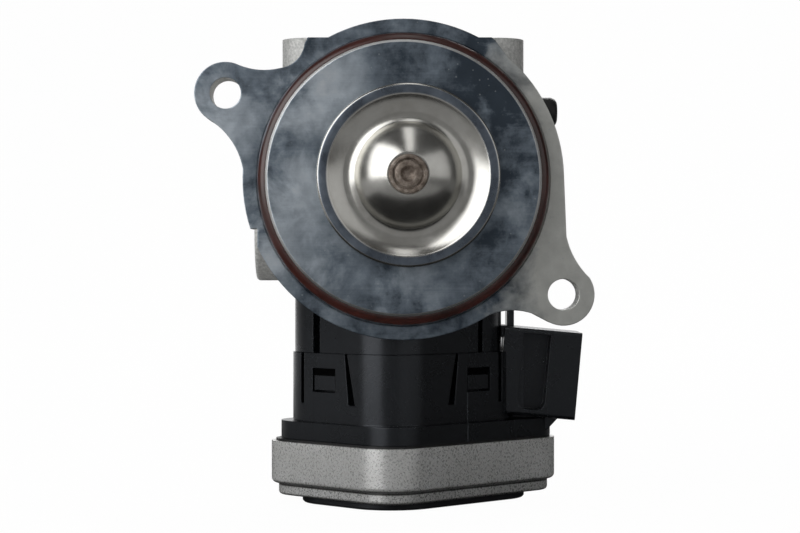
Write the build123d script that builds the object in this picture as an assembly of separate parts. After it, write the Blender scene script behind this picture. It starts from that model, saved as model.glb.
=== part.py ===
from build123d import *
import os
from math import acos, atan2, cos, hypot, pi, radians, sin, sqrt, tan

os.makedirs("parts", exist_ok=True)

# Exhaust gas recirculation valve with an electric drive.  Millimetres, +Z up.
# The origin is on the spigot axis, in the flange face that bolts to the intake.
# The valve stem runs along Y: the head is at -Y, the cam and its shaft are at +Y.

# ---- Flange and spigot -------------------------------------------------------
FLANGE_R, FLANGE_T = 33.5, 9.0
EAR_R, EAR_HOLE_R = 6.5, 3.25
EAR_LEFT, EAR_RIGHT = (-37.1, 18.0), (33.35, -24.0)
SHOULDER_Z = 29.6
SPIGOT_R, SPIGOT_PROUD, LIP_T, LAND_T = 28.4, 8.0, 3.0, 1.25
RING_WIRE_R, RING_GAP = 1.8, 0.05
RELIEF_DEEP, RELIEF_GAP = 0.3, 0.4
EDGE_BREAK = 0.5

# ---- Valve -------------------------------------------------------------------
VALVE_X, VALVE_Z = 1.0, 0.4
HEAD_R, HEAD_RIM_T = 18.75, 4.0
SEAT_R, SEAT_BORE_R, SEAT_T, SEAT_PROUD = 17.0, 14.2, 5.0, 0.4
STEM_R, STEM_TAIL_R = 4.0, 3.0
RUN = 0.03
LIFT = 6.0
CHAMBER_BACK = 13.0
GUIDE_R, GUIDE_BOSS_R, GUIDE_GAP, SEAL_T, SCRAPER_T = 5.2, 6.3, 0.9, 3.0, 2.0
SPRING_POCKET, RETAINER_T = 5.0, 1.4
SPRING_R, SPRING_WIRE_R, SPRING_TURNS = 7.2, 0.6, 4
CARRIAGE_LEN, CARRIAGE_HALF, CARRIAGE_TOP = 8.4, 5.5, 6.0
ROLLER_R, ROLLER_PIN_R, ROLLER_LEN = 2.6, 1.2, 3.8
WASHER_T, CLIP_T = 0.9, 0.8

# ---- Drive case: a rounded rectangle with one corner toward the flange -------
CASE_X, CASE_Y = -2.6, 1.7
CASE_LONG, CASE_SHORT, CASE_CORNER = 57.7, 43.1, 9.0
SHELL_LONG, SKIRT_LONG = 47.5, 51.0
SHELL_INSET, SKIRT_INSET, SKIRT_WALL, SKIRT_CORNER = 3.4, 3.1, 1.8, 10.0
DIAG = sqrt(0.5)

# ---- Cam and gear train ------------------------------------------------------
CAM_TO_WALL = 10.08
CAM_X = VALVE_X
CAM_Y = CASE_Y + CAM_X - CASE_X + (CASE_SHORT - CAM_TO_WALL) / DIAG
CAM_SWEEP = 75.0
CAM_START = 7.5
ROLLER_Y = CAM_Y - CAM_START
RETAINER_Y = ROLLER_Y - CARRIAGE_LEN / 2 - RETAINER_T
GUIDE_END = RETAINER_Y - LIFT - GUIDE_GAP
SPRING_SEAT_Y = GUIDE_END - SPRING_POCKET
CAM_TOP, CAM_T, GROOVE_DEPTH, CAM_HUB_R = -11.2, 6.0, 4.3, 5.0
CAM_RISE = LIFT / radians(CAM_SWEEP)
SHAFT_R, BEARING_R = 2.5, 4.5
MOTOR_X, MOTOR_Y, MOTOR_R = -3.9, 28.7, 10.5
PRESSURE, BACKLASH = radians(20), 0.12
DRIVE_MODULE, PINION_TEETH, WHEEL_TEETH = 0.5, 14, 34
FINAL_MODULE, SMALL_TEETH, SECTOR_TEETH = 0.6, 12, 48

# ---- Levels of the drive, from the casting down ------------------------------
SEAT_Z, GASKET_T = -24.0, 0.8
SHELL_TOP = SEAT_Z - GASKET_T
SKIRT_TOP, RIM_TOP, COVER_TOP = -37.1, -52.3, -56.3
BAND_BOTTOM, TIER_BOTTOM, LID_BOTTOM = -66.2, -68.8, -70.5
CHAMBER_TOP, CHAMBER_R = 9.8, 21.0
PAD_TOP, PAD_T, PAD_BACK = 30.5, 8.5, 43.0
PORT_R, PORT_Y = 10.5, 24.5
PORT_STUD_X, PORT_STUD_R, PORT_STUD_DEEP, PORT_BOSS_R = 20.2, 2.5, 11.5, 5.2

# ---- Levels inside the drive, from the case and its floor --------------------
GEAR_FLOOR = BAND_BOTTOM + 0.2
SHAFT_END, MAGNET_T = GEAR_FLOOR + 1.6, 1.2
SMALL_LOW, SMALL_T, WHEEL_T = GEAR_FLOOR + 2.0, 5.0, 1.8
WHEEL_LOW = SMALL_LOW + SMALL_T
SECTOR_T, GEAR_GAP = 4.0, 0.5
SECTOR_LOW = WHEEL_LOW - GEAR_GAP - SECTOR_T
BEARING_T = 4.0
LOWER_BOSS_TOP = RIM_TOP + 2.0
SHELL_ROOF = SHELL_TOP - 3.0
MOTOR_TOP, MOTOR_BOTTOM, CAN_WALL = SHELL_ROOF - 1.7, RIM_TOP + 1.3, 1.0
ARMATURE_R, COMMUTATOR_R, MOTOR_SHAFT_R = 7.3, 3.2, 1.15
IDLER_PIN_R, IDLER_RUN, IDLER_BOSS_R, PIN_DEEP = 1.5, 0.05, 3.2, 2.6

# ---- Side fittings of the casting --------------------------------------------
CORE_Y, CORE_Z, CORE_R, CORE_BOSS_R, CORE_LEFT = 25.0, -11.0, 7.0, 10.2, -32.1
PLUG_SINK, PLUG_LEN, PLUG_WALL = 1.2, 3.7, 0.8
NIPPLE_Y, NIPPLE_Z, NIPPLE_R, NIPPLE_BOSS_R = 26.0, 15.8, 2.0, 5.6
NIPPLE_BOSS_END, NIPPLE_END, NIPPLE_DEEP = 25.5, 31.5, 11.5
CAP_R, CAP_END = 3.3, 33.9


def pillar(x, y, z0, z1, r):
    return Pos(x, y, (z0 + z1) / 2) * Cylinder(r, abs(z1 - z0))


def rod_y(x, z, y0, y1, r):
    return Pos(x, (y0 + y1) / 2, z) * Rot(90, 0, 0) * Cylinder(r, abs(y1 - y0))


def rod_x(y, z, x0, x1, r):
    return Pos((x0 + x1) / 2, y, z) * Rot(0, 90, 0) * Cylinder(r, abs(x1 - x0))


def block(x0, x1, y0, y1, z0, z1):
    return Pos((x0 + x1) / 2, (y0 + y1) / 2, (z0 + z1) / 2) * Box(x1 - x0, y1 - y0, z1 - z0)


def spun(x, z, *edges):
    """A solid of revolution about the Y line at (x, z), from edges in (radius, y)."""
    face = Plane(origin=(x, 0, z), x_dir=(1, 0, 0), z_dir=(0, 0, 1)) * make_face(list(edges))
    return revolve(face, Axis((x, 0, z), (0, 1, 0)))


def case_point(u, v):
    """Plan position of a point u along the long side and v along the short side."""
    return CASE_X + (u - v) * DIAG, CASE_Y + (u + v) * DIAG


def case_block(inset, corner, z0, z1, long_side=CASE_LONG):
    """The case outline moved in by inset, standing from z0 to z1."""
    size_u, size_v = long_side - 2 * inset, CASE_SHORT - 2 * inset
    x, y = case_point(long_side / 2, CASE_SHORT / 2)
    outline = Pos(x, y, z0) * Rot(0, 0, 45) * RectangleRounded(size_u, size_v, corner)
    return extrude(outline, z1 - z0, dir=(0, 0, 1))


def case_box(u0, u1, v0, v1, z0, z1):
    x, y = case_point((u0 + u1) / 2, (v0 + v1) / 2)
    return Pos(x, y, (z0 + z1) / 2) * Rot(0, 0, 45) * Box(u1 - u0, v1 - v0, z1 - z0)


def case_pillar(u, v, z0, z1, r):
    return pillar(*case_point(u, v), z0, z1, r)


# ---- Where the intermediate gear sits, from the two centre distances ---------
MOTOR_TO_IDLER = DRIVE_MODULE * (PINION_TEETH + WHEEL_TEETH) / 2
IDLER_TO_CAM = FINAL_MODULE * (SMALL_TEETH + SECTOR_TEETH) / 2
SPAN = hypot(CAM_X - MOTOR_X, CAM_Y - MOTOR_Y)
ALONG = (MOTOR_TO_IDLER**2 - IDLER_TO_CAM**2 + SPAN**2) / (2 * SPAN)
ASIDE = sqrt(MOTOR_TO_IDLER**2 - ALONG**2)
AHEAD = ((CAM_X - MOTOR_X) / SPAN, (CAM_Y - MOTOR_Y) / SPAN)
IDLER_X = MOTOR_X + ALONG * AHEAD[0] + ASIDE * AHEAD[1]
IDLER_Y = MOTOR_Y + ALONG * AHEAD[1] - ASIDE * AHEAD[0]
SCREW_IN, COVER_SCREW_IN = 9.2, 5.9
SCREW_SPOTS = [(SCREW_IN, SCREW_IN), (SCREW_IN, CASE_SHORT - SCREW_IN),
               (SHELL_LONG - SCREW_IN, SCREW_IN)]
COVER_SCREW_SPOTS = [(u, v) for u in (COVER_SCREW_IN, CASE_LONG - COVER_SCREW_IN)
                     for v in (COVER_SCREW_IN, CASE_SHORT - COVER_SCREW_IN)]


# ---- Cast housing ------------------------------------------------------------
def flange_outline():
    """Outline in (x, z): a round plate with two ears, two shoulders and a notch."""
    arc = ThreePointArc
    return Wire([
        Line((-15.68, SHOULDER_Z), (-19.9, SHOULDER_Z)),
        Line((-19.9, SHOULDER_Z), (-20.6, 28.3)),
        arc((-20.6, 28.3), (-22.1, 25.0), (-25.7, 23.2)),
        arc((-25.7, 23.2), (-30.0, 22.85), (-34.2, 23.82)),
        arc((-34.2, 23.82), (EAR_LEFT[0] - EAR_R, EAR_LEFT[1]), (-40.9, 12.73)),
        arc((-40.9, 12.73), (-36.0, 8.3), (-33.43, 2.2)),
        arc((-33.43, 2.2), (-33.26, -4.0), (-31.88, -10.3)),
        Line((-31.88, -10.3), (-30.4, -10.3)),
        Line((-30.4, -10.3), (-30.4, -14.07)),
        arc((-30.4, -14.07), (0, -FLANGE_R), (18.0, -28.25)),
        arc((18.0, -28.25), (22.6, -27.3), (27.2, -28.1)),
        Line((27.2, -28.1), (30.55, -29.86)),
        arc((30.55, -29.86), (EAR_RIGHT[0] + EAR_R, EAR_RIGHT[1]), (38.85, -20.55)),
        arc((38.85, -20.55), (35.9, -16.8), (34.0, -11.9)),
        Line((34.0, -11.9), (33.48, 1.0)),
        arc((33.48, 1.0), (31.6, 11.12), (21.8, 25.44)),
        Line((21.8, 25.44), (19.2, 28.9)),
        Line((19.2, 28.9), (18.4, SHOULDER_Z)),
        Line((18.4, SHOULDER_Z), (15.68, SHOULDER_Z)),
        arc((15.68, SHOULDER_Z), (0, FLANGE_R), (-15.68, SHOULDER_Z)),
    ])


WEB_END, WEB_T = CAM_Y + 18.0, 3.2


def valve_housing():
    flange = extrude(Plane.XZ * Face(flange_outline()), FLANGE_T, dir=(0, 1, 0))
    relief_r = SPIGOT_R + RING_WIRE_R + RELIEF_GAP
    flange -= rod_y(0, 0, 0, RELIEF_DEEP, relief_r)
    spigot = rod_y(0, 0, -SPIGOT_PROUD, LIP_T - SPIGOT_PROUD, SPIGOT_R)
    spigot = chamfer(spigot.edges().sort_by(Axis.Y)[0], EDGE_BREAK)
    spigot += rod_y(0, 0, LIP_T - SPIGOT_PROUD, RELIEF_DEEP, SPIGOT_R - RING_WIRE_R - RING_GAP)
    spigot += rod_y(0, 0, -LAND_T, RELIEF_DEEP, SPIGOT_R)

    pad = block(-26, 25.9, FLANGE_T, PAD_BACK, PAD_TOP - PAD_T, PAD_TOP)
    pad = fillet(pad.edges().filter_by(Axis.Z), 6)
    neck = block(-19.5, 19.5, FLANGE_T, PAD_BACK - 2, SEAT_Z, PAD_TOP - PAD_T)
    neck = fillet(neck.edges().filter_by(Axis.Z).group_by(Axis.Y)[-1], 5)
    drum = pillar(CAM_X, CAM_Y, SEAT_Z, CHAMBER_TOP + 3.2, CHAMBER_R + 3)
    drum = fillet(drum.edges().sort_by(Axis.Z)[-1], 2)
    foot = case_block(SHELL_INSET, SKIRT_CORNER, SEAT_Z, SEAT_Z + 6, SHELL_LONG)
    foot &= block(-60, 60, FLANGE_T, 90, SEAT_Z, 0)
    boss = rod_x(CORE_Y, CORE_Z, CORE_LEFT, 0, CORE_BOSS_R)
    boss = fillet(boss.edges().sort_by(Axis.X)[0], 0.8)
    nipple_boss = rod_x(NIPPLE_Y, NIPPLE_Z, 10, NIPPLE_BOSS_END, NIPPLE_BOSS_R)
    nipple_boss = fillet(nipple_boss.edges().sort_by(Axis.X)[-1], 0.8)
    body = flange + spigot + pad + neck + drum + foot + boss + nipple_boss
    for x in (-PORT_STUD_X, PORT_STUD_X):
        body += pillar(x, PORT_Y, PAD_TOP - PORT_STUD_DEEP - 3, PAD_TOP - 2, PORT_BOSS_R)
    web = extrude(Plane.YZ * make_face([Polyline(
        (PAD_BACK - 4, CHAMBER_TOP), (WEB_END, CHAMBER_TOP), (WEB_END, CHAMBER_TOP + 3.6),
        (PAD_BACK - 1, PAD_TOP - PAD_T), (PAD_BACK - 4, CHAMBER_TOP))]), WEB_T, dir=(1, 0, 0))
    body += [Pos(x, 0, 0) * web for x in (-13.2, 11.0)]

    # Gas way: down the port, forward above the stem guide, out through the seat.
    body -= rod_y(VALVE_X, VALVE_Z, -SPIGOT_PROUD, CHAMBER_BACK, SEAT_BORE_R)
    body -= rod_y(VALVE_X, VALVE_Z, -SPIGOT_PROUD, SEAT_T - SPIGOT_PROUD - SEAT_PROUD, SEAT_R)
    body -= pillar(0, PORT_Y, 13, PAD_TOP, PORT_R)
    way = block(-9.5, 9.5, 0, PORT_Y + 8, 12.2, 19)
    body -= fillet(way.edges().filter_by(Axis.Y), 3)

    # Cam chamber, open below, with the spring pocket and the stem guide boss.
    body -= pillar(CAM_X, CAM_Y, SEAT_Z, CHAMBER_TOP, CHAMBER_R)
    pocket = rod_y(VALVE_X, VALVE_Z, SPRING_SEAT_Y, CAM_Y - CHAMBER_R + 6,
                   SPRING_R + SPRING_WIRE_R + 0.6)
    body -= pocket - rod_y(VALVE_X, VALVE_Z, SPRING_SEAT_Y, GUIDE_END, GUIDE_BOSS_R)
    body += rod_y(VALVE_X, VALVE_Z, CHAMBER_BACK, GUIDE_END, GUIDE_BOSS_R)
    body -= rod_y(VALVE_X, VALVE_Z, CHAMBER_BACK - 1, GUIDE_END, GUIDE_R)
    keel = block(VALVE_X - 4, VALVE_X + 4, RETAINER_Y + 2.6, CAM_Y + 5,
                 VALVE_Z + CARRIAGE_TOP + 0.1, CHAMBER_TOP + 0.5)
    body += keel

    for x, z in (EAR_LEFT, EAR_RIGHT):
        body -= rod_y(x, z, -1, FLANGE_T + 1, EAR_HOLE_R)
    for x in (-PORT_STUD_X, PORT_STUD_X):
        body -= pillar(x, PORT_Y, PAD_TOP - PORT_STUD_DEEP, PAD_TOP + 1, PORT_STUD_R)
    for u, v in SCREW_SPOTS:
        body -= case_pillar(u, v, SEAT_Z, SEAT_Z + 9, 1.6)
    body -= rod_x(CORE_Y, CORE_Z, CORE_LEFT, CORE_LEFT + 10.6, CORE_R)
    body -= rod_x(NIPPLE_Y, NIPPLE_Z, NIPPLE_BOSS_END - NIPPLE_DEEP, NIPPLE_BOSS_END + 0.5, NIPPLE_R)
    return body


# ---- Valve, seat and stem ----------------------------------------------------
def ring_y(y0, y1, outer, inner, x=VALVE_X, z=VALVE_Z):
    return rod_y(x, z, y0, y1, outer) - rod_y(x, z, y0, y1, inner)


def seat_ring():
    front = -SPIGOT_PROUD - SEAT_PROUD
    ring = ring_y(front, front + SEAT_T, SEAT_R, SEAT_BORE_R)
    mouth = ring.edges().filter_by(GeomType.CIRCLE).sort_by(Axis.Y)[:2]
    return chamfer(mouth.sort_by(SortBy.LENGTH)[0], 0.4)


def valve_head():
    """Poppet head: flat back on the seat, dished front with a dome round the stem."""
    back = -SPIGOT_PROUD - SEAT_PROUD
    rim_back = back - 0.6
    front = rim_back - HEAD_RIM_T
    bevel = 0.45
    return spun(
        VALVE_X, VALVE_Z,
        Line((STEM_R, front - 4.6), (STEM_R + 0.3, front - 4.6)),
        ThreePointArc((STEM_R + 0.3, front - 4.6), (8.3, front - 2.9), (11.25, front + 1.3)),
        ThreePointArc((11.25, front + 1.3), (14.0, front + 1.9), (16.7, front)),
        Line((16.7, front), (HEAD_R - bevel, front)),
        Line((HEAD_R - bevel, front), (HEAD_R, front + bevel)),
        Line((HEAD_R, front + bevel), (HEAD_R, rim_back)),
        Line((HEAD_R, rim_back), (SEAT_R + 0.2, rim_back)),
        Line((SEAT_R + 0.2, rim_back), (SEAT_R - 0.2, back)),
        Line((SEAT_R - 0.2, back), (SEAT_BORE_R - 0.5, back)),
        ThreePointArc((SEAT_BORE_R - 0.5, back), (8.4, back + 1.3), (5.6, back + 5.4)),
        Line((5.6, back + 5.4), (STEM_R, back + 6.2)),
        Line((STEM_R, back + 6.2), (STEM_R, front - 4.6)),
    )


def valve_stem():
    """Stem riveted through the head, with a centre mark in its end and a stepped tail."""
    tip = -SPIGOT_PROUD - SEAT_PROUD - 0.6 - HEAD_RIM_T - 5.0
    tail = RETAINER_Y + RETAINER_T + CARRIAGE_LEN + WASHER_T + 1.5
    stem = rod_y(VALVE_X, VALVE_Z, tip, RETAINER_Y, STEM_R)
    stem = chamfer(stem.edges().sort_by(Axis.Y)[0], 0.3)
    stem += rod_y(VALVE_X, VALVE_Z, RETAINER_Y, tail, STEM_TAIL_R)
    stem -= ring_y(tip, tip + 0.5, 3.1, 2.7)
    stem -= spun(VALVE_X, VALVE_Z, Line((0, tip), (1.6, tip)), Line((1.6, tip), (0, tip + 1.2)),
                 Line((0, tip + 1.2), (0, tip)))
    clip_y = tail - 1.5
    return stem - ring_y(clip_y, clip_y + CLIP_T, STEM_TAIL_R + 1, STEM_TAIL_R - 0.6)


def retaining_clip():
    y = RETAINER_Y + RETAINER_T + CARRIAGE_LEN + WASHER_T
    clip = ring_y(y, y + CLIP_T, 4.6, STEM_TAIL_R - 0.6)
    return clip - block(VALVE_X - 1.9, VALVE_X + 1.9, y - 1, y + 2, VALVE_Z - 6, VALVE_Z)


def spring_retainer():
    y = RETAINER_Y
    return ring_y(y, y + RETAINER_T, SPRING_R + 1.0, STEM_TAIL_R)


def return_spring():
    y0 = SPRING_SEAT_Y + SPRING_WIRE_R
    length = RETAINER_Y - SPRING_SEAT_Y - 2 * SPRING_WIRE_R
    path = Helix(pitch=length / SPRING_TURNS, height=length, radius=SPRING_R)
    wire = sweep(Plane(path @ 0, z_dir=path % 0) * Circle(SPRING_WIRE_R), path, is_frenet=True)
    return Pos(VALVE_X, y0, VALVE_Z) * Rot(-90, 0, 0) * wire


def follower_carriage():
    """Block clamped on the stem tail; its leg carries the roller over the cam."""
    y0 = RETAINER_Y + RETAINER_T
    body = block(VALVE_X - CARRIAGE_HALF, VALVE_X + CARRIAGE_HALF, y0, y0 + CARRIAGE_LEN,
                 VALVE_Z - 5.5, VALVE_Z + CARRIAGE_TOP)
    body = fillet(body.edges().filter_by(Axis.Y), 1.5)
    leg = block(VALVE_X - 3.4, VALVE_X + 3.4, y0, y0 + CARRIAGE_LEN, CAM_TOP + 0.5, VALVE_Z - 4)
    body += fillet(leg.edges().filter_by(Axis.Z), 1)
    body -= rod_y(VALVE_X, VALVE_Z, y0, y0 + CARRIAGE_LEN, STEM_TAIL_R)
    return body - pillar(VALVE_X, ROLLER_Y, CAM_TOP - 1, VALVE_Z - 4.2, ROLLER_PIN_R)


def follower_roller():
    low = CAM_TOP - 4.1
    roller = pillar(VALVE_X, ROLLER_Y, low, low + ROLLER_LEN, ROLLER_R)
    return roller - pillar(VALVE_X, ROLLER_Y, low, low + ROLLER_LEN, ROLLER_PIN_R + RUN)


def washer():
    y0 = RETAINER_Y + RETAINER_T + CARRIAGE_LEN
    return ring_y(y0, y0 + WASHER_T, 4.9, STEM_TAIL_R)


# ---- Cam ---------------------------------------------------------------------
def groove_side(offset, first, last, steps=9):
    """Points beside the spiral track, offset square to it, in the cam's own plan."""
    points = []
    for i in range(steps + 1):
        turn = radians(first + (last - first) * i / steps)
        reach = CAM_START + CAM_RISE * turn
        ang = -pi / 2 - turn
        tangent = atan2(-reach, CAM_RISE) + ang
        points.append((reach * cos(ang) + offset * sin(tangent),
                       reach * sin(ang) - offset * cos(tangent)))
    return points


def track_face(half, first, last):
    near, far = groove_side(-half, first, last), groove_side(half, first, last)
    ends = groove_side(0, first, last, 1)
    face = make_face([Spline(*near), Line(near[-1], far[-1]), Spline(*far), Line(far[0], near[0])])
    for x, y in ends:
        face += Pos(x, y) * Circle(half)
    return face


def cam_disc():
    """Cam plate with a spiral groove: equal turns give equal travel of the stem."""
    first, last = -2.0, CAM_SWEEP + 2.0
    plate = track_face(ROLLER_R + 2.0, first, last) + Circle(6.6)
    edge = groove_side(0, first, last)
    plate += make_face([Polyline((0, 0), *edge, (0, 0))])
    at_cam = Pos(CAM_X, CAM_Y, CAM_TOP)
    disc = at_cam * extrude(plate, CAM_T, dir=(0, 0, -1))
    disc += pillar(CAM_X, CAM_Y, CAM_TOP - CAM_T - 2.4, CAM_TOP - CAM_T, CAM_HUB_R)
    groove = extrude(track_face(ROLLER_R + 0.08, first, last), GROOVE_DEPTH, dir=(0, 0, -1))
    disc -= at_cam * groove
    return disc - pillar(CAM_X, CAM_Y, CAM_TOP - 12, CAM_TOP + 1, SHAFT_R)


# ---- Gears -------------------------------------------------------------------
def flank_angle(r, pitch_r, teeth):
    """Half angle of a tooth at radius r, for an involute flank with some backlash."""
    roll = acos(min(1.0, pitch_r * cos(PRESSURE) / r))
    return (pi / (2 * teeth) - BACKLASH / (2 * pitch_r)
            + tan(PRESSURE) - PRESSURE - tan(roll) + roll)


def gear(x, y, z0, z1, module, teeth, toward, bore, count=None, hub_r=None):
    """Spur gear with a tooth, or for a negative module a gap, centred on toward."""
    gap, module = module < 0, abs(module)
    pitch_r = module * teeth / 2
    radii = [pitch_r - 1.05 * module, pitch_r, pitch_r + 0.8 * module]
    half = [flank_angle(r, pitch_r, teeth) for r in radii]
    count = count or teeth
    points = []
    for i in range(count):
        mid = toward + 2 * pi * (i + (0.5 if gap else 0)) / teeth
        for r, a in list(zip(radii, half)) + list(zip(radii, [-h for h in half]))[::-1]:
            points.append((r * cos(mid - a), r * sin(mid - a)))
    if count < teeth:
        points.append((0, 0))
    face = make_face([Polyline(*points, points[0])])
    if hub_r:
        face += Circle(hub_r)
    return Pos(x, y, z0) * extrude(face, z1 - z0, dir=(0, 0, 1)) - pillar(x, y, z0, z1, bore)


def angle_to(x0, y0, x1, y1):
    return atan2(y1 - y0, x1 - x0)


def sector_gear():
    """Final gear: only the arc of teeth that the stroke uses, on a round hub."""
    mesh = angle_to(CAM_X, CAM_Y, IDLER_X, IDLER_Y)
    pitch = 2 * pi / SECTOR_TEETH
    swing = round(radians(CAM_SWEEP) / pitch)
    start = mesh - (swing + 1) * pitch
    top = SECTOR_LOW + SECTOR_T
    part = gear(CAM_X, CAM_Y, SECTOR_LOW, top, FINAL_MODULE, SECTOR_TEETH, start, SHAFT_R,
                swing + 3, 5.0)
    hub = pillar(CAM_X, CAM_Y, top, COVER_TOP - 0.3, 4.2)
    return part + hub - pillar(CAM_X, CAM_Y, SHAFT_END, COVER_TOP, SHAFT_R)


def intermediate_gear():
    to_motor = angle_to(IDLER_X, IDLER_Y, MOTOR_X, MOTOR_Y)
    to_cam = angle_to(IDLER_X, IDLER_Y, CAM_X, CAM_Y)
    bore = IDLER_PIN_R + IDLER_RUN
    wheel = gear(IDLER_X, IDLER_Y, WHEEL_LOW, WHEEL_LOW + WHEEL_T, DRIVE_MODULE, WHEEL_TEETH,
                 to_motor, bore)
    small = gear(IDLER_X, IDLER_Y, SMALL_LOW, WHEEL_LOW, -FINAL_MODULE, SMALL_TEETH, to_cam, bore)
    return wheel + small


def motor_pinion():
    to_idler = angle_to(MOTOR_X, MOTOR_Y, IDLER_X, IDLER_Y)
    return gear(MOTOR_X, MOTOR_Y, WHEEL_LOW - 1.0, COVER_TOP - 0.6, -DRIVE_MODULE, PINION_TEETH,
                to_idler, MOTOR_SHAFT_R)


# ---- Motor -------------------------------------------------------------------
def motor_can():
    can = pillar(MOTOR_X, MOTOR_Y, MOTOR_BOTTOM, MOTOR_TOP, MOTOR_R)
    can = fillet(can.edges().sort_by(Axis.Z)[-1], 1)
    can -= pillar(MOTOR_X, MOTOR_Y, MOTOR_BOTTOM, MOTOR_TOP - CAN_WALL, MOTOR_R - CAN_WALL)
    return can - pillar(MOTOR_X, MOTOR_Y, MOTOR_TOP - 2, MOTOR_TOP, MOTOR_SHAFT_R + 0.05)


def motor_end_cap():
    cap = pillar(MOTOR_X, MOTOR_Y, MOTOR_BOTTOM, MOTOR_BOTTOM + 2.2, MOTOR_R - CAN_WALL)
    return cap - pillar(MOTOR_X, MOTOR_Y, MOTOR_BOTTOM, MOTOR_BOTTOM + 3, MOTOR_SHAFT_R + 0.05)


def motor_magnets():
    low, high, inside = MOTOR_BOTTOM + 4.5, MOTOR_TOP - 3.5, MOTOR_R - CAN_WALL
    ring = pillar(MOTOR_X, MOTOR_Y, low, high, inside)
    ring -= pillar(MOTOR_X, MOTOR_Y, low, high, inside - 1.7)
    return ring - block(MOTOR_X - 3, MOTOR_X + 3, MOTOR_Y - MOTOR_R, MOTOR_Y + MOTOR_R, low, high)


def motor_armature():
    low, high = MOTOR_BOTTOM + 5, MOTOR_TOP - 4.5
    core = pillar(MOTOR_X, MOTOR_Y, low, high, ARMATURE_R)
    at_core = Pos(MOTOR_X, MOTOR_Y, (low + high) / 2)
    for slot in PolarLocations(ARMATURE_R - 0.9, 5):
        core -= at_core * slot * Box(5, 1.3, high - low)
    core += pillar(MOTOR_X, MOTOR_Y, low - 2.2, low, COMMUTATOR_R)
    return core - pillar(MOTOR_X, MOTOR_Y, low - 3, high, MOTOR_SHAFT_R)


def motor_shaft():
    return pillar(MOTOR_X, MOTOR_Y, WHEEL_LOW - 1.4, MOTOR_TOP - 0.3, MOTOR_SHAFT_R)


# ---- Black shells ------------------------------------------------------------
def across_wall(side, mid, width, height, depth):
    """A box through the skirt wall on the left or right front face, mid along that face."""
    near, far = mid - width / 2, mid + width / 2
    if side == "right":
        return case_box(near, far, *depth, *height)
    return case_box(*depth, near, far, *height)


TABS = (("left", 23.9), ("right", 30.4))
FLUTES = (("left", 26.6, 2.2), ("right", 31.2, 1.5))
TAB_HALF, SLOT_W = 6.4, 1.1
WINDOW_W, WINDOW_Z = 7.3, (-45.6, -40.4)
SLOT_LOW = WINDOW_Z[0] - 2.6
WEDGE_W, WEDGE_LEAN = 2.1, 1.3


def wedge_slot(side, at):
    """A slot that leans and widens downward, cut through the skirt beside a tab."""
    out = (-DIAG, -DIAG, 0) if side == "left" else (DIAG, -DIAG, 0)
    wall = Plane(origin=(CASE_X, CASE_Y, 0), x_dir=(DIAG, DIAG * (side == "right") * 2 - DIAG, 0),
                 z_dir=out)
    turn = 1 if side == "right" else -1
    outline = Polyline((turn * at, SKIRT_TOP + 1), (turn * (at - 0.7), SKIRT_TOP + 1),
                       (turn * (at - WEDGE_LEAN - WEDGE_W), SLOT_LOW),
                       (turn * (at - WEDGE_LEAN), SLOT_LOW), (turn * at, SKIRT_TOP + 1))
    return extrude(wall * make_face([outline]), -SKIRT_INSET - SKIRT_WALL - 0.1)


def fin_block(grow=0.0):
    """Upright fin on a short shelf at the connector side of the upper shell."""
    x, y = SKIRT_SIDE_X - 1.6, SOCKET_FRONT + 3.0
    fin = block(x, x + 1.6 + grow, y - grow, y + 8 + grow, -34 - grow, SHELL_TOP)
    return fin + block(x - 6, x + 1.6 + grow, y - grow, y + 8 + grow, -34 - grow, -31.4)


def actuator_shell():
    """Upper shell: motor housing, with a barb behind each snap tab of the skirt."""
    low, roof = RIM_TOP + 2.8, SHELL_ROOF
    inner = SKIRT_INSET + SKIRT_WALL + 0.15
    shell = case_block(SHELL_INSET, SKIRT_CORNER, SKIRT_TOP, SHELL_TOP, SHELL_LONG)
    shell += case_block(inner, SKIRT_CORNER - 1.8, low, SKIRT_TOP, SKIRT_LONG)
    shell -= case_block(inner + 1.8, SKIRT_CORNER - 3.6, low, roof, SHELL_LONG)
    shell -= case_block(inner + 1.8, SKIRT_CORNER - 3.6, low, SKIRT_TOP - 1.5, SKIRT_LONG)
    shell -= pillar(CAM_X, CAM_Y, low, roof, SHAFT_R + 0.5)
    for side, mid in TABS:
        barb = across_wall(side, mid, WINDOW_W - 0.8, WINDOW_Z, (SKIRT_INSET + 0.2, inner + 0.2))
        ramp = across_wall(side, mid, WINDOW_W, (WINDOW_Z[0] - 1, WINDOW_Z[0] + 0.4), (0, 9))
        shell += barb - ramp
    for side, mid, width in FLUTES:
        shell -= across_wall(side, mid, width, (SKIRT_TOP - 0.2, SHELL_TOP - 2), (0, inner + 0.6))
    for u, v in SCREW_SPOTS:
        shell += case_pillar(u, v, roof - 0.2, SHELL_TOP, 3.1)
        shell -= case_pillar(u, v, roof - 6, roof - 0.2, 3.0)
        shell -= case_pillar(u, v, roof - 1, SHELL_TOP, 1.75)
    shell -= pillar(CAM_X, CAM_Y, roof, SHELL_TOP, SHAFT_R + 0.4)
    keep_out = case_block(SHELL_INSET + 1, SKIRT_CORNER - 1, SKIRT_TOP, SHELL_TOP, SHELL_LONG)
    return shell + (fin_block() - keep_out)


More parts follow.
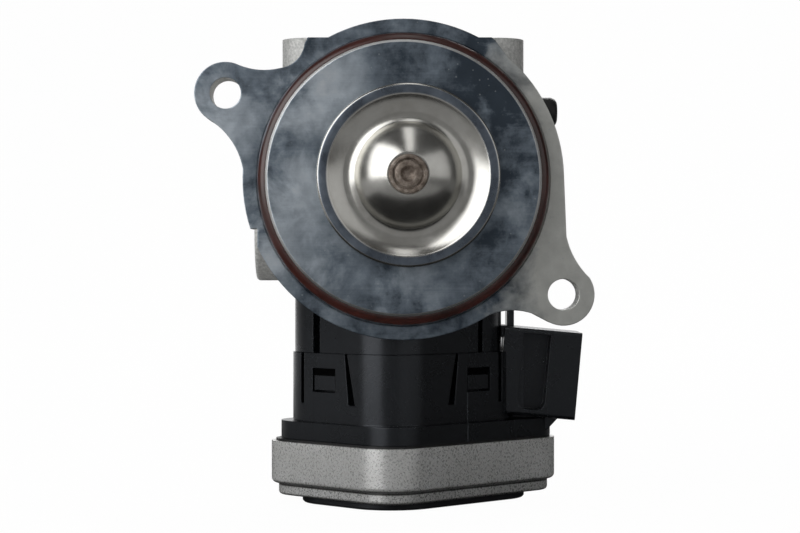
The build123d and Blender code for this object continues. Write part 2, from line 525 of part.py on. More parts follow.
SOCKET_REACH, SOCKET_TALL, SOCKET_DEEP = 15.9, 19.6, 18.0
SOCKET_TOP, SOCKET_TILT, SOCKET_SINK = -31.6, 5.2, 0.64
SKIRT_SIDE_X = CASE_X + (SKIRT_LONG - 2 * SKIRT_INSET) * DIAG - (sqrt(2) - 1) * SKIRT_CORNER
SOCKET_FRONT = CASE_Y + SKIRT_LONG * DIAG - 5.76
SOCKET_BACK = SOCKET_FRONT + SOCKET_DEEP
BLADE_Y, BLADE_PITCH, BLADE_W, BLADE_T = SOCKET_FRONT + 12.1, 2.7, 1.0, 0.8
CAVITY_FLOOR, CAVITY_MARGIN = 4.4, 1.8


def socket_place():
    """The connector's own tilted frame, hinged at its inner top edge."""
    return Pos(SKIRT_SIDE_X - SOCKET_SINK, 0, SOCKET_TOP) * Rot(0, SOCKET_TILT, 0)


def socket_axes(x0, x1, y0, y1, z0, z1):
    return socket_place() * block(x0, x1, y0, y1, z0, z1)


def blades():
    """Five flat contact blades, one above another, in the socket's frame."""
    made = []
    for k in (-2, -1, 0, 1, 2):
        z = BLADE_PITCH * k - SOCKET_TALL / 2
        made.append(socket_axes(CAVITY_FLOOR - 1.5, CAVITY_FLOOR + 5.5, BLADE_Y - BLADE_T / 2,
                                BLADE_Y + BLADE_T / 2, z - BLADE_W / 2, z + BLADE_W / 2))
    return made


def connector_skirt():
    """Lower shell: snap skirt, gear case top plate and the five way socket."""
    wall = SKIRT_INSET + SKIRT_WALL
    skirt = case_block(SKIRT_INSET, SKIRT_CORNER, RIM_TOP, SKIRT_TOP, SKIRT_LONG)
    plate = Pos(0.6, 0, 0) * case_block(1.4, CASE_CORNER - 1, COVER_TOP, RIM_TOP)
    side = SKIRT_SIDE_X
    buttress = block(side - 2.0, side + 2.1, SOCKET_FRONT + 1.2, SOCKET_FRONT + 12, RIM_TOP + 1,
                     SKIRT_TOP + 1.1)
    buttress = fillet(buttress.edges().filter_by(Axis.Y).sort_by(Axis.Z)[0], 2.5)
    socket = block(-1.5, SOCKET_REACH, SOCKET_FRONT, SOCKET_BACK, -SOCKET_TALL, 0)
    socket = fillet(socket.edges().filter_by(Axis.X), 0.8)
    recess = block(2.8, 8.9, SOCKET_FRONT - 1, SOCKET_FRONT + 6.2, -SOCKET_TALL + 1.5, -1.2)
    socket -= fillet(recess.edges().filter_by(Axis.Y).sort_by(Axis.Z)[:2], 2.0)
    gusset = extrude(Plane.XZ * make_face([Polyline(
        (side - 1, COVER_TOP), (side + 7.7, COVER_TOP + 1.3), (side + 10.5, RIM_TOP + 0.3),
        (side - 1, RIM_TOP + 1.5), (side - 1, COVER_TOP))]), SOCKET_DEEP - 8, dir=(0, 1, 0))
    body = skirt + plate + buttress + socket_place() * socket
    body += Pos(0, SOCKET_FRONT + 6, 0) * gusset
    body -= case_block(wall, SKIRT_CORNER - 1.8, RIM_TOP, SKIRT_TOP + 6, SKIRT_LONG)
    above = case_block(SHELL_INSET - 0.3, SKIRT_CORNER, SKIRT_TOP, SHELL_TOP, SHELL_LONG)
    body -= above + fin_block(0.3)
    cavity = block(CAVITY_FLOOR, SOCKET_REACH + 1, SOCKET_BACK - CAVITY_MARGIN - 8.4,
                   SOCKET_BACK - CAVITY_MARGIN, CAVITY_MARGIN - SOCKET_TALL, -CAVITY_MARGIN)
    body -= socket_place() * fillet(cavity.edges().filter_by(Axis.X), 1.0)
    for blade in blades():
        body -= blade
    for side, mid in TABS:
        body -= across_wall(side, mid, WINDOW_W, WINDOW_Z, (0, wall + 0.1))
        body -= across_wall(side, mid + TAB_HALF + SLOT_W / 2, SLOT_W, (SLOT_LOW, SKIRT_TOP + 1),
                            (0, wall + 0.1))
        body -= wedge_slot(side, mid - TAB_HALF)
    body += pillar(CAM_X, CAM_Y, COVER_TOP, LOWER_BOSS_TOP, BEARING_R + 1.5)
    body -= pillar(CAM_X, CAM_Y, COVER_TOP, LOWER_BOSS_TOP, BEARING_R)
    body -= pillar(MOTOR_X, MOTOR_Y, COVER_TOP, RIM_TOP, 3.4)
    body -= pillar(IDLER_X, IDLER_Y, COVER_TOP, COVER_TOP + PIN_DEEP, IDLER_PIN_R)
    for u, v in COVER_SCREW_SPOTS:
        body -= case_pillar(u, v, COVER_TOP, RIM_TOP - 0.6, 1.25)
    return body


def terminals():
    return Compound(children=[solid for blade in blades() for solid in blade.solids()])


# ---- Gear case cover, lid and sensor ----------------------------------------
GASKET_LOW = 0.5
BOARD_BAY = (29.0, 47.0, 24.0, 37.5)


def gear_case_cover():
    """Cast cover in two steps, hollow above for the gears, with four screw posts."""
    top = COVER_TOP - GASKET_LOW
    band = case_block(0, CASE_CORNER, BAND_BOTTOM, top)
    band = fillet(band.edges().group_by(Axis.Z)[0], 1.1)
    tier = case_block(1.6, CASE_CORNER - 1.6, TIER_BOTTOM, BAND_BOTTOM)
    tier = fillet(tier.edges().group_by(Axis.Z)[0], 0.8)
    body = band + tier
    hollow = case_block(2.8, CASE_CORNER - 2.8, GEAR_FLOOR, top)
    body -= hollow
    for u, v in COVER_SCREW_SPOTS:
        post = case_pillar(u, v, TIER_BOTTOM, top, 2.9)
        body += post & case_block(2.6, CASE_CORNER - 2.6, TIER_BOTTOM, top)
        body -= case_pillar(u, v, TIER_BOTTOM, top, 1.35)
        body -= case_pillar(u, v, TIER_BOTTOM, TIER_BOTTOM + 1.8, 1.8)
    boss_top = SMALL_LOW - 0.3
    body += pillar(IDLER_X, IDLER_Y, BAND_BOTTOM, boss_top, IDLER_BOSS_R)
    body -= pillar(IDLER_X, IDLER_Y, GEAR_FLOOR, boss_top, IDLER_PIN_R)
    return body - case_box(*BOARD_BAY, TIER_BOTTOM, GEAR_FLOOR)


def gear_case_gasket():
    ring = case_block(1.0, CASE_CORNER - 1, COVER_TOP - GASKET_LOW, COVER_TOP)
    ring -= case_block(2.8, CASE_CORNER - 2.8, COVER_TOP - GASKET_LOW, COVER_TOP)
    for u, v in COVER_SCREW_SPOTS:
        ring += case_pillar(u, v, COVER_TOP - GASKET_LOW, COVER_TOP, 2.6)
        ring -= case_pillar(u, v, COVER_TOP - GASKET_LOW, COVER_TOP, 1.35)
    return ring & case_block(1.0, CASE_CORNER - 1, COVER_TOP - GASKET_LOW, COVER_TOP)


def bottom_lid():
    lid = case_block(4.3, 11.0, LID_BOTTOM, TIER_BOTTOM)
    return chamfer(lid.edges().group_by(Axis.Z)[0], 0.4)


def sensor_board():
    u0, u1, v0, v1 = BOARD_BAY
    board = case_box(u0 + 0.6, u1 - 0.6, v0 + 0.6, v1 - 0.6, TIER_BOTTOM, TIER_BOTTOM + 1.2)
    return board + pillar(CAM_X, CAM_Y, TIER_BOTTOM + 1.2, TIER_BOTTOM + 2.1, 1.8)


def screws(spots, z_seat, z_end, head_r, head_t, shank_r, socket_r):
    """Cap screws standing on z_seat with the shank running to z_end."""
    made = []
    for u, v in spots:
        screw = case_pillar(u, v, z_seat - head_t, z_seat, head_r)
        screw += case_pillar(u, v, z_seat, z_end, shank_r)
        x, y = case_point(u, v)
        key = Pos(x, y, z_seat - head_t) * extrude(RegularPolygon(socket_r, 6), 1.0, dir=(0, 0, 1))
        made.append(screw - key)
    return Compound(children=[s for screw in made for s in screw.solids()])


def bearing(x, y, z0, z1):
    return pillar(x, y, z0, z1, BEARING_R) - pillar(x, y, z0, z1, SHAFT_R + RUN)


def bearing_plate():
    """Plate closing the cam chamber, with the upper bearing of the cam shaft."""
    plate = pillar(CAM_X, CAM_Y, SEAT_Z, SEAT_Z + 3, CHAMBER_R)
    plate += pillar(CAM_X, CAM_Y, SEAT_Z, SEAT_Z + BEARING_T, BEARING_R + 2)
    return plate - pillar(CAM_X, CAM_Y, SEAT_Z, SEAT_Z + BEARING_T, BEARING_R)


def actuator_gasket():
    sheet = case_block(SHELL_INSET, SKIRT_CORNER, SHELL_TOP, SEAT_Z, SHELL_LONG)
    sheet -= pillar(CAM_X, CAM_Y, SHELL_TOP, SEAT_Z, 8)
    for u, v in SCREW_SPOTS:
        sheet -= case_pillar(u, v, SHELL_TOP, SEAT_Z, 1.75)
    return sheet


def spigot_ring():
    y = -LAND_T - RING_GAP / 2 - RING_WIRE_R
    return Pos(0, y, 0) * Rot(90, 0, 0) * Torus(SPIGOT_R, RING_WIRE_R)


def core_plug():
    x = CORE_LEFT + PLUG_SINK
    plug = rod_x(CORE_Y, CORE_Z, x, x + PLUG_LEN, CORE_R)
    return plug - rod_x(CORE_Y, CORE_Z, x, x + PLUG_LEN - 1.2, CORE_R - PLUG_WALL)


def side_cap():
    """Rubber cap over the pressure nipple on the right of the casting."""
    cap = rod_x(NIPPLE_Y, NIPPLE_Z, NIPPLE_BOSS_END, CAP_END, CAP_R)
    cap = fillet(cap.edges().sort_by(Axis.X)[-1], CAP_R / 2)
    return cap - rod_x(NIPPLE_Y, NIPPLE_Z, NIPPLE_BOSS_END, NIPPLE_END, NIPPLE_R + 0.2)


def side_nipple():
    start = NIPPLE_BOSS_END - NIPPLE_DEEP
    tube = rod_x(NIPPLE_Y, NIPPLE_Z, start, NIPPLE_END, NIPPLE_R)
    return tube - rod_x(NIPPLE_Y, NIPPLE_Z, start, NIPPLE_END, NIPPLE_R - 0.9)


nodes = {
    "valve_housing": valve_housing(),
    "spigot_o_ring": spigot_ring(),
    "valve_seat_ring": seat_ring(),
    "stem_guide": ring_y(CHAMBER_BACK + SCRAPER_T, GUIDE_END - SEAL_T, GUIDE_R, STEM_R + RUN),
    "stem_scraper_ring": ring_y(CHAMBER_BACK, CHAMBER_BACK + SCRAPER_T, GUIDE_R,
                                STEM_R + 2 * RUN),
    "stem_seal": ring_y(GUIDE_END - SEAL_T, GUIDE_END, GUIDE_R, STEM_R + 2 * RUN),
    "valve_head": valve_head(),
    "valve_stem": valve_stem(),
    "return_spring": return_spring(),
    "spring_retainer": spring_retainer(),
    "follower_carriage": follower_carriage(),
    "carriage_washer": washer(),
    "retaining_clip": retaining_clip(),
    "roller_pin": pillar(VALVE_X, ROLLER_Y, CAM_TOP - 4.2, VALVE_Z - 4.2, ROLLER_PIN_R),
    "follower_roller": follower_roller(),
    "cam_disc": cam_disc(),
    "cam_shaft": pillar(CAM_X, CAM_Y, SHAFT_END, CAM_TOP, SHAFT_R),
    "upper_bearing": bearing(CAM_X, CAM_Y, SEAT_Z, SEAT_Z + BEARING_T),
    "lower_bearing": bearing(CAM_X, CAM_Y, COVER_TOP + 0.6, LOWER_BOSS_TOP),
    "bearing_plate": bearing_plate(),
    "sector_gear": sector_gear(),
    "sensor_magnet": pillar(CAM_X, CAM_Y, SHAFT_END - MAGNET_T, SHAFT_END, SHAFT_R),
    "intermediate_gear": intermediate_gear(),
    "intermediate_gear_pin": pillar(IDLER_X, IDLER_Y, GEAR_FLOOR, COVER_TOP + PIN_DEEP,
                                    IDLER_PIN_R),
    "motor_pinion": motor_pinion(),
    "motor_shaft": motor_shaft(),
    "motor_armature": motor_armature(),
    "motor_can": motor_can(),
    "motor_end_cap": motor_end_cap(),
    "motor_magnets": motor_magnets(),
    "actuator_gasket": actuator_gasket(),
    "actuator_shell": actuator_shell(),
    "actuator_screws": screws(SCREW_SPOTS, SHELL_TOP - 3.2, SEAT_Z + 8, 2.8, 2.4, 1.6, 1.4),
    "connector_skirt": connector_skirt(),
    "connector_terminals": terminals(),
    "gear_case_gasket": gear_case_gasket(),
    "gear_case_cover": gear_case_cover(),
    "gear_case_screws": screws(COVER_SCREW_SPOTS, TIER_BOTTOM + 1.8, COVER_TOP + 3, 1.7, 1.6,
                               1.25, 0.9),
    "bottom_lid": bottom_lid(),
    "sensor_board": sensor_board(),
    "core_plug": core_plug(),
    "side_nipple": side_nipple(),
    "side_cap": side_cap(),
}

for name, shape in nodes.items():
    export_step(shape, f"parts/{name}.step")
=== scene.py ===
from math import atan2, cos, hypot, pi, radians, sin

import bmesh
import bpy
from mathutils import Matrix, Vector


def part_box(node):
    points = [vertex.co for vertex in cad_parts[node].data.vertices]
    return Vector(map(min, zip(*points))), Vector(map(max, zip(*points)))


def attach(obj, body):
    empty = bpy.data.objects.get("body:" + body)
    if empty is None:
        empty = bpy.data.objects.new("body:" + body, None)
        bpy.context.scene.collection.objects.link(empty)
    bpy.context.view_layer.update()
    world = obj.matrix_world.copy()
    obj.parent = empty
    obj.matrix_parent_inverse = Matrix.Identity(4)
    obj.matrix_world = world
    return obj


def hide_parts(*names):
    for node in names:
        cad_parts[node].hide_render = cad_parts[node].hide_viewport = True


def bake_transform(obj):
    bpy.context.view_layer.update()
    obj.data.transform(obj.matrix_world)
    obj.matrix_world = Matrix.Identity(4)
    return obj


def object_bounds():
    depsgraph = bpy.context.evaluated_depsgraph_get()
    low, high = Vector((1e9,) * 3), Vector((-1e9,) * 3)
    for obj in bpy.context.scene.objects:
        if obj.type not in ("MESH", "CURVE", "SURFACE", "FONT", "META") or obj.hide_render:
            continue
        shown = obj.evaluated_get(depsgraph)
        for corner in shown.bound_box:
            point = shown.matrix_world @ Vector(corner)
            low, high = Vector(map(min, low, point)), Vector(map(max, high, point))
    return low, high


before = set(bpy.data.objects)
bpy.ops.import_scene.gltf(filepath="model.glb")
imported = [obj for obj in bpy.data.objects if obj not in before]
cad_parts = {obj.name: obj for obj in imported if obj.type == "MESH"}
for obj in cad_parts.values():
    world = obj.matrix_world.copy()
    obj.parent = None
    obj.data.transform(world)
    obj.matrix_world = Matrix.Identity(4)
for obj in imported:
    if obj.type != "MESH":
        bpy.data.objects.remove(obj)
cad_box = [list(corner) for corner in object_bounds()]

# ---- Cast housing ---------------------------------------------------------------
# The body is one aluminium casting, sand cast and shot blasted, with the flange and
# the spigot faced on a mill and a lathe afterwards.  Hot gas and coolant vapour have
# left a blue film and pale dried splashes on the machined faces.
MM = 0.001


def linear(code):
    """An sRGB hex colour as linear light, for a colour socket."""
    parts = [int(code[i:i + 2], 16) / 255 for i in (0, 2, 4)]
    return [c / 12.92 if c <= 0.04045 else ((c + 0.055) / 1.055) ** 2.4 for c in parts] + [1.0]


def add(tree, kind, inputs=None, stops=(), **settings):
    """Adds one node: its settings, its ramp stops, then what each input holds or is fed by."""
    node = tree.nodes.new("ShaderNode" + kind)
    for setting, value in settings.items():
        setattr(node, setting, value)
    for i, (place, colour) in enumerate(stops):
        ramp = node.color_ramp.elements
        stop = ramp[i] if i < 2 else ramp.new(place)
        stop.position, stop.color = place, linear(colour)
    for name, value in (inputs or {}).items():
        socket = node.inputs[name] if isinstance(name, int) else next(
            s for s in node.inputs if s.name == name and s.enabled)
        if isinstance(value, bpy.types.Node):
            value = next(s for s in value.outputs if s.enabled)
        if isinstance(value, bpy.types.NodeSocket):
            tree.links.new(value, socket)
        else:
            socket.default_value = value
    return node


def new_material(name):
    """An empty material and its node tree."""
    made = bpy.data.materials.new(name)
    made.use_nodes = True
    made.node_tree.nodes.clear()
    return made, made.node_tree


def surface(tree, sockets):
    """Ends a material: what its shader is fed by, and the link to the output."""
    shader = add(tree, "BsdfPrincipled", sockets)
    add(tree, "OutputMaterial", {"Surface": shader})


def dress(material, *names):
    """Gives CAD nodes their finish."""
    for name in names:
        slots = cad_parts[name].data.materials
        slots.clear()
        slots.append(material)


def per_mm(size):
    """The texture scale that makes a pattern's grain that many millimetres."""
    return 1 / (size * MM)


# Where splashes dried on the faced metal: x, z and size in mm, and how much paler,
# or darker, each left it.
DRIED_SPOTS = ((-14, 19, 12, 0.38), (-23, 13, 11, 0.34), (-22, -4, 12, 0.42),
               (-15, -17, 11, 0.26), (3, -22, 11, 0.20), (26, -6, 10, 0.14),
               (16, 19, 12, -0.16), (-38, 12, 14, 0.38), (23, 0, 10, -0.16),
               (-28, -16, 11, 0.42), (-4, -32, 8, 0.02))
# How far the clouds pull the splashes out of round.
SPLASH_DRIFT = 22 * MM
# The flange is faced up to FACE_BACK; what lies beyond SPIGOT_FRONT is the spigot's face.
FACE_BACK, FACE_FADE = 0.4 * MM, 0.2 * MM
SPIGOT_FRONT, SPIGOT_FADE = -7 * MM, 2 * MM
# Over this span of x the blue film on the flange gives way to a painted reflection of the room on
# the right, in light neutral grey.
PAINTED_REFLECTION_FROM, PAINTED_REFLECTION_TO, PAINTED_REFLECTION_DRIFT = 32 * MM, 44 * MM, 30 * MM
# The corner of the spigot's front face is broken by a fine chamfer; from this radius out a white
# highlight is painted on it.
LIP_R, LIP_FADE = 27.8 * MM, 0.15 * MM


def splashed(tree, here, clouds):
    """Clouds and dried splashes on the faced metal, as one value: low is dark blue film,
    high is the pale salt that the coolant left."""
    drift = add(tree, "VectorMath", {0: clouds.outputs["Color"], 1: (0.5, 0.5, 0.5)},
                operation="SUBTRACT")
    drift = add(tree, "VectorMath", {0: drift, "Scale": SPLASH_DRIFT}, operation="SCALE")
    drift = add(tree, "VectorMath", {0: drift, 1: here}, operation="ADD")
    drift = add(tree, "VectorMath", {0: drift, 1: (1, 0, 1)}, operation="MULTIPLY")
    film = add(tree, "MapRange", {"Value": clouds, "From Min": 0.25, "From Max": 0.75,
                                  "To Min": 0.0, "To Max": 0.42})
    for x, z, size, bloom in DRIED_SPOTS:
        away = add(tree, "VectorMath", {0: drift, 1: (x * MM, 0, z * MM)}, operation="DISTANCE")
        spot = add(tree, "MapRange", {"Value": away.outputs["Value"], "From Min": size * MM,
                                      "From Max": 0.0, "To Min": 0.0, "To Max": bloom},
                   interpolation_type="SMOOTHSTEP")
        film = add(tree, "Math", {0: film, 1: spot}, operation="ADD")
    return film


def pits(tree, here, faced):
    """A few small bright pits in the faced metal, where the cutter opened a pore."""
    pores = add(tree, "TexVoronoi", {"Vector": here, "Scale": per_mm(1.6), "Randomness": 1.0})
    pit = add(tree, "MapRange", {"Value": pores.outputs["Distance"], "From Min": 0.13,
                                 "From Max": 0.06, "To Min": 0.0, "To Max": 1.0})
    some = add(tree, "SeparateColor", {"Color": pores.outputs["Color"]})
    some = add(tree, "MapRange", {"Value": some.outputs["Red"], "From Min": 0.62,
                                  "From Max": 0.75, "To Min": 0.0, "To Max": 0.5})
    pit = add(tree, "Math", {0: pit, 1: some}, operation="MULTIPLY")
    return add(tree, "Math", {0: pit, 1: faced}, operation="MULTIPLY")


def cast_and_faced_aluminium():
    """Blasted casting with machined faces: grainy and matt outside, smooth, blue and
    clouded where the cutter has been."""
    made, tree = new_material("blasted_and_faced_cast_aluminium")
    here = add(tree, "TexCoord").outputs["Object"]
    at = add(tree, "SeparateXYZ", {"Vector": here})
    normal = add(tree, "SeparateXYZ", {"Vector": add(tree, "NewGeometry").outputs["Normal"]})
    toward = add(tree, "MapRange", {"Value": normal.outputs["Y"], "From Min": -0.5,
                                    "From Max": -0.65, "To Min": 0.0, "To Max": 1.0})
    in_front = add(tree, "MapRange", {"Value": at.outputs["Y"],
                                      "From Min": FACE_BACK + FACE_FADE,
                                      "From Max": FACE_BACK, "To Min": 0.0, "To Max": 1.0})
    faced = add(tree, "Math", {0: toward, 1: in_front}, operation="MULTIPLY")
    spigot = add(tree, "MapRange", {"Value": at.outputs["Y"],
                                    "From Min": SPIGOT_FRONT + SPIGOT_FADE,
                                    "From Max": SPIGOT_FRONT, "To Min": 0.0, "To Max": 1.0})

    # The film on the faced metal, with the fine level marks of the cutter in it.
    clouds = add(tree, "TexNoise", {"Vector": here, "Scale": per_mm(9), "Detail": 8.0,
                                    "Roughness": 0.62, "Distortion": 0.3})
    streaks = add(tree, "TexNoise", {"Vector": here, "Scale": per_mm(3.2), "Detail": 6.0,
                                     "Roughness": 0.7})
    film = splashed(tree, here, clouds)
    cuts = add(tree, "TexNoise", {"W": at.outputs["Z"], "Scale": per_mm(0.4), "Detail": 3.0},
               noise_dimensions="1D")
    cuts = add(tree, "MapRange", {"Value": cuts, "From Min": 0.3, "From Max": 0.7,
                                  "To Min": -0.01, "To Max": 0.01})
    fine = add(tree, "MapRange", {"Value": streaks, "From Min": 0.3, "From Max": 0.7,
                                  "To Min": -0.07, "To Max": 0.07})
    film = add(tree, "Math", {0: film, 1: cuts}, operation="ADD")
    film = add(tree, "Math", {0: film, 1: fine}, operation="ADD")
    blue = add(tree, "ValToRGB", {"Fac": film}, stops=(
        (0.10, "4c5661"), (0.95, "fafcfd"), (0.30, "8e9aa6"), (0.60, "d2dce5")))

    # On the right of the flange a painted reflection, light neutral grey, takes the place of the
    # film.
    painted_reflection_grey = add(tree, "ValToRGB", {"Fac": streaks}, stops=((0.35, "d6d7d2"), (0.7, "e4e5e0")))
    side = add(tree, "Math", {0: clouds, 1: PAINTED_REFLECTION_DRIFT}, operation="MULTIPLY")
    side = add(tree, "Math", {0: at.outputs["X"], 1: side}, operation="ADD")
    painted_reflection = add(tree, "MapRange", {"Value": side, "From Min": PAINTED_REFLECTION_FROM, "From Max": PAINTED_REFLECTION_TO,
                                  "To Min": 0.0, "To Max": 1.0})
    flange = add(tree, "Math", {0: 1.0, 1: spigot}, operation="SUBTRACT")
    painted_reflection = add(tree, "Math", {0: painted_reflection, 1: flange}, operation="MULTIPLY")
    face_colour = add(tree, "Mix", {"Factor": painted_reflection, "A": blue, "B": painted_reflection_grey}, data_type="RGBA")

    # The blasted skin, its grain drawn a little coarser than it is so that it shows.
    grain = add(tree, "TexNoise", {"Vector": here, "Scale": per_mm(0.55), "Detail": 3.0,
                                   "Roughness": 0.6})
    skin = add(tree, "ValToRGB", {"Fac": grain}, stops=((0.3, "b2b3b1"), (0.72, "e0e0de")))
    colour = add(tree, "Mix", {"Factor": faced, "A": skin, "B": face_colour}, data_type="RGBA")
    colour = add(tree, "Mix", {"Factor": pits(tree, here, faced), "A": colour,
                               "B": linear("c6ccd0")}, data_type="RGBA")

    # A highlight is painted white on the chamfer round the spigot's face, all the way round.
    flat = add(tree, "VectorMath", {0: here, 1: (1, 0, 1)}, operation="MULTIPLY")
    out = add(tree, "VectorMath", {0: flat}, operation="LENGTH").outputs["Value"]
    painted_lip_highlight = add(tree, "MapRange", {"Value": out, "From Min": LIP_R, "From Max": LIP_R + LIP_FADE,
                                 "To Min": 0.0, "To Max": 1.0})
    painted_lip_highlight = add(tree, "Math", {0: painted_lip_highlight, 1: spigot}, operation="MULTIPLY")
    colour = add(tree, "Mix", {"Factor": painted_lip_highlight, "A": colour, "B": linear("ecedec")},
                 data_type="RGBA")

    rough = add(tree, "MapRange", {"Value": faced, "From Min": 0.0, "From Max": 1.0,
                                   "To Min": 0.62, "To Max": 0.36})
    smear = add(tree, "MapRange", {"Value": streaks, "From Min": 0.3, "From Max": 0.7,
                                   "To Min": -0.05, "To Max": 0.07})
    rough = add(tree, "Math", {0: rough, 1: smear}, operation="ADD")
    matt_lip = add(tree, "Math", {0: painted_lip_highlight, 1: 0.12}, operation="MULTIPLY")
    rough = add(tree, "Math", {0: rough, 1: matt_lip}, operation="ADD")
    bare_metal = add(tree, "MapRange", {"Value": faced, "From Min": 0.0, "From Max": 1.0,
                                        "To Min": 0.55, "To Max": 1.0})
    depth = add(tree, "MapRange", {"Value": faced, "From Min": 0.0, "From Max": 1.0,
                                   "To Min": 0.55, "To Max": 0.05})
    edges = add(tree, "Bevel", {"Radius": 0.35 * MM}, samples=6)
    bump = add(tree, "Bump", {"Height": grain, "Strength": depth, "Distance": 0.12 * MM,
                              "Normal": edges})
    surface(tree, {"Base Color": colour, "Metallic": bare_metal, "Roughness": rough,
                   "Normal": bump})
    return made


dress(cast_and_faced_aluminium(), "valve_housing")

# ---- Seat ring and stem guide ---------------------------------------------------
# The seat is a turned ring of hard steel pressed into the spigot.  The guide is a
# sintered bronze bush with a scraper ring in front and a seal behind it, all pressed
# into the long boss of the casting.


def worked_metal(name, light, dark, rough, grain):
    """Turned, ground, drawn or plated metal: bare and shiny, with a faint mottle of that
    grain in mm, as fine tool marks or plating look from a little way off."""
    made, tree = new_material(name)
    here = add(tree, "TexCoord").outputs["Object"]
    marks = add(tree, "TexNoise", {"Vector": here, "Scale": per_mm(grain), "Detail": 2.0,
                                   "Roughness": 0.5})
    tint = add(tree, "ValToRGB", {"Fac": marks}, stops=((0.3, dark), (0.7, light)))
    gloss = add(tree, "MapRange", {"Value": marks, "From Min": 0.3, "From Max": 0.7,
                                   "To Min": rough - 0.05, "To Max": rough + 0.08})
    bump = add(tree, "Bump", {"Height": marks, "Strength": 0.15, "Distance": 0.05 * MM})
    surface(tree, {"Base Color": tint, "Metallic": 1.0, "Roughness": gloss, "Normal": bump})
    return made


dress(worked_metal("turned_hard_steel", "b9bcbd", "8e9294", 0.28, 0.3), "valve_seat_ring")
dress(worked_metal("sintered_bronze", "b08d57", "8a6a3c", 0.42, 0.18), "stem_guide")


def moulded_rubber(name, light, dark):
    """Moulded rubber: dull, with a faint bloom and the grain of the mould."""
    made, tree = new_material(name)
    here = add(tree, "TexCoord").outputs["Object"]
    bloom = add(tree, "TexNoise", {"Vector": here, "Scale": per_mm(5), "Detail": 5.0,
                                   "Roughness": 0.65})
    tint = add(tree, "ValToRGB", {"Fac": bloom}, stops=((0.35, dark), (0.68, light)))
    grain = add(tree, "TexNoise", {"Vector": here, "Scale": per_mm(0.25), "Detail": 2.0})
    bump = add(tree, "Bump", {"Height": grain, "Strength": 0.2, "Distance": 0.03 * MM})
    surface(tree, {"Base Color": tint, "Roughness": 0.48, "IOR": 1.5, "Normal": bump})
    return made


dress(worked_metal("scraper_steel", "9fa3a5", "7c8082", 0.35, 0.2), "stem_scraper_ring")
black_rubber = moulded_rubber("moulded_black_rubber", "1d1d1e", "121213")
dress(black_rubber, "stem_seal")

# ---- Valve head -----------------------------------------------------------------
# The poppet head is turned from heat-resisting steel: a flat rim, a polished trough
# and a dome that runs up to the riveted stem.  The back sits on the seat ring.

# The valve's axis stands a little to the right of the spigot's and a little above it.
VALVE_X, VALVE_Z = 1.0 * MM, 0.4 * MM
TURN_STEPS = 256
HEAD_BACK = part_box("valve_seat_ring")[0].y / MM
RIM_BACK, RIM_T = HEAD_BACK - 0.6, 4.0
FRONT = RIM_BACK - RIM_T
HEAD_R, RIM_IN, RIM_CHAMFER, BLUED_OUT, STEM_R = 18.75, 16.7, 0.6, 18.2, 4.0
DOME_TOP = FRONT - 4.1
DOME_FOOT_R, DOME_FOOT = 10.9, FRONT + 0.97
TROUGH_R, TROUGH = 13.2, FRONT + 1.45
TROUGH_OUT_R, TROUGH_OUT = 16.5, FRONT + 0.05
SEAT_IN_R, SEAT_OUT_R, SEAT_EDGE_R = 13.7, 16.8, 17.2
NECK_R, NECK = 5.6, HEAD_BACK + 5.4


def arc(start, middle, end, count=14):
    """Points of the circular arc from start through middle to end, without its last."""
    (ax, ay), (bx, by), (cx, cy) = start, middle, end
    d = 2 * (ax * (by - cy) + bx * (cy - ay) + cx * (ay - by))
    ux = ((ax * ax + ay * ay) * (by - cy) + (bx * bx + by * by) * (cy - ay)
          + (cx * cx + cy * cy) * (ay - by)) / d
    uy = ((ax * ax + ay * ay) * (cx - bx) + (bx * bx + by * by) * (ax - cx)
          + (cx * cx + cy * cy) * (bx - ax)) / d
    radius = hypot(ax - ux, ay - uy)
    a0, a1, a2 = (atan2(y - uy, x - ux) for x, y in (start, middle, end))
    turn = (a2 - a0) % (2 * pi)
    if (a1 - a0) % (2 * pi) > turn:
        turn -= 2 * pi
    return [(ux + radius * cos(a0 + turn * i / count), uy + radius * sin(a0 + turn * i / count))
            for i in range(count)]


def finished(name, work, material, place=(0, 0, 0), sharp=32):
    """Turns a bmesh into a smooth-shaded piece, with its real edges kept sharp."""
    mesh = bpy.data.meshes.new(name)
    work.to_mesh(mesh)
    work.free()
    mesh.materials.append(material)
    mesh.shade_smooth()
    mesh.set_sharp_from_angle(angle=radians(sharp))
    piece = bpy.data.objects.new(name, mesh)
    piece.location = place
    bpy.context.scene.collection.objects.link(piece)
    return piece


def turned(name, profile, material, x=VALVE_X, z=VALVE_Z, sharp=32):
    """A solid of revolution about the Y line through (x, z); profile is (radius, y) in mm."""
    work = bmesh.new()
    rings = []
    for radius, y in profile:
        if radius < 1e-6:
            rings.append([work.verts.new((0, y * MM, 0))])
        else:
            rings.append([work.verts.new((radius * MM * cos(2 * pi * k / TURN_STEPS), y * MM,
                                          radius * MM * sin(2 * pi * k / TURN_STEPS)))
                          for k in range(TURN_STEPS)])
    for near, far in zip(rings, rings[1:] + rings[:1]):
        if len(near) == len(far) == 1:
            continue
        for k in range(TURN_STEPS):
            n = (k + 1) % TURN_STEPS
            if len(near) == 1:
                work.faces.new((near[0], far[n], far[k]))
            elif len(far) == 1:
                work.faces.new((near[k], near[n], far[0]))
            else:
                work.faces.new((near[k], near[n], far[n], far[k]))
    bmesh.ops.recalc_face_normals(work, faces=work.faces)
    return finished(name, work, material, (x, 0, z), sharp)


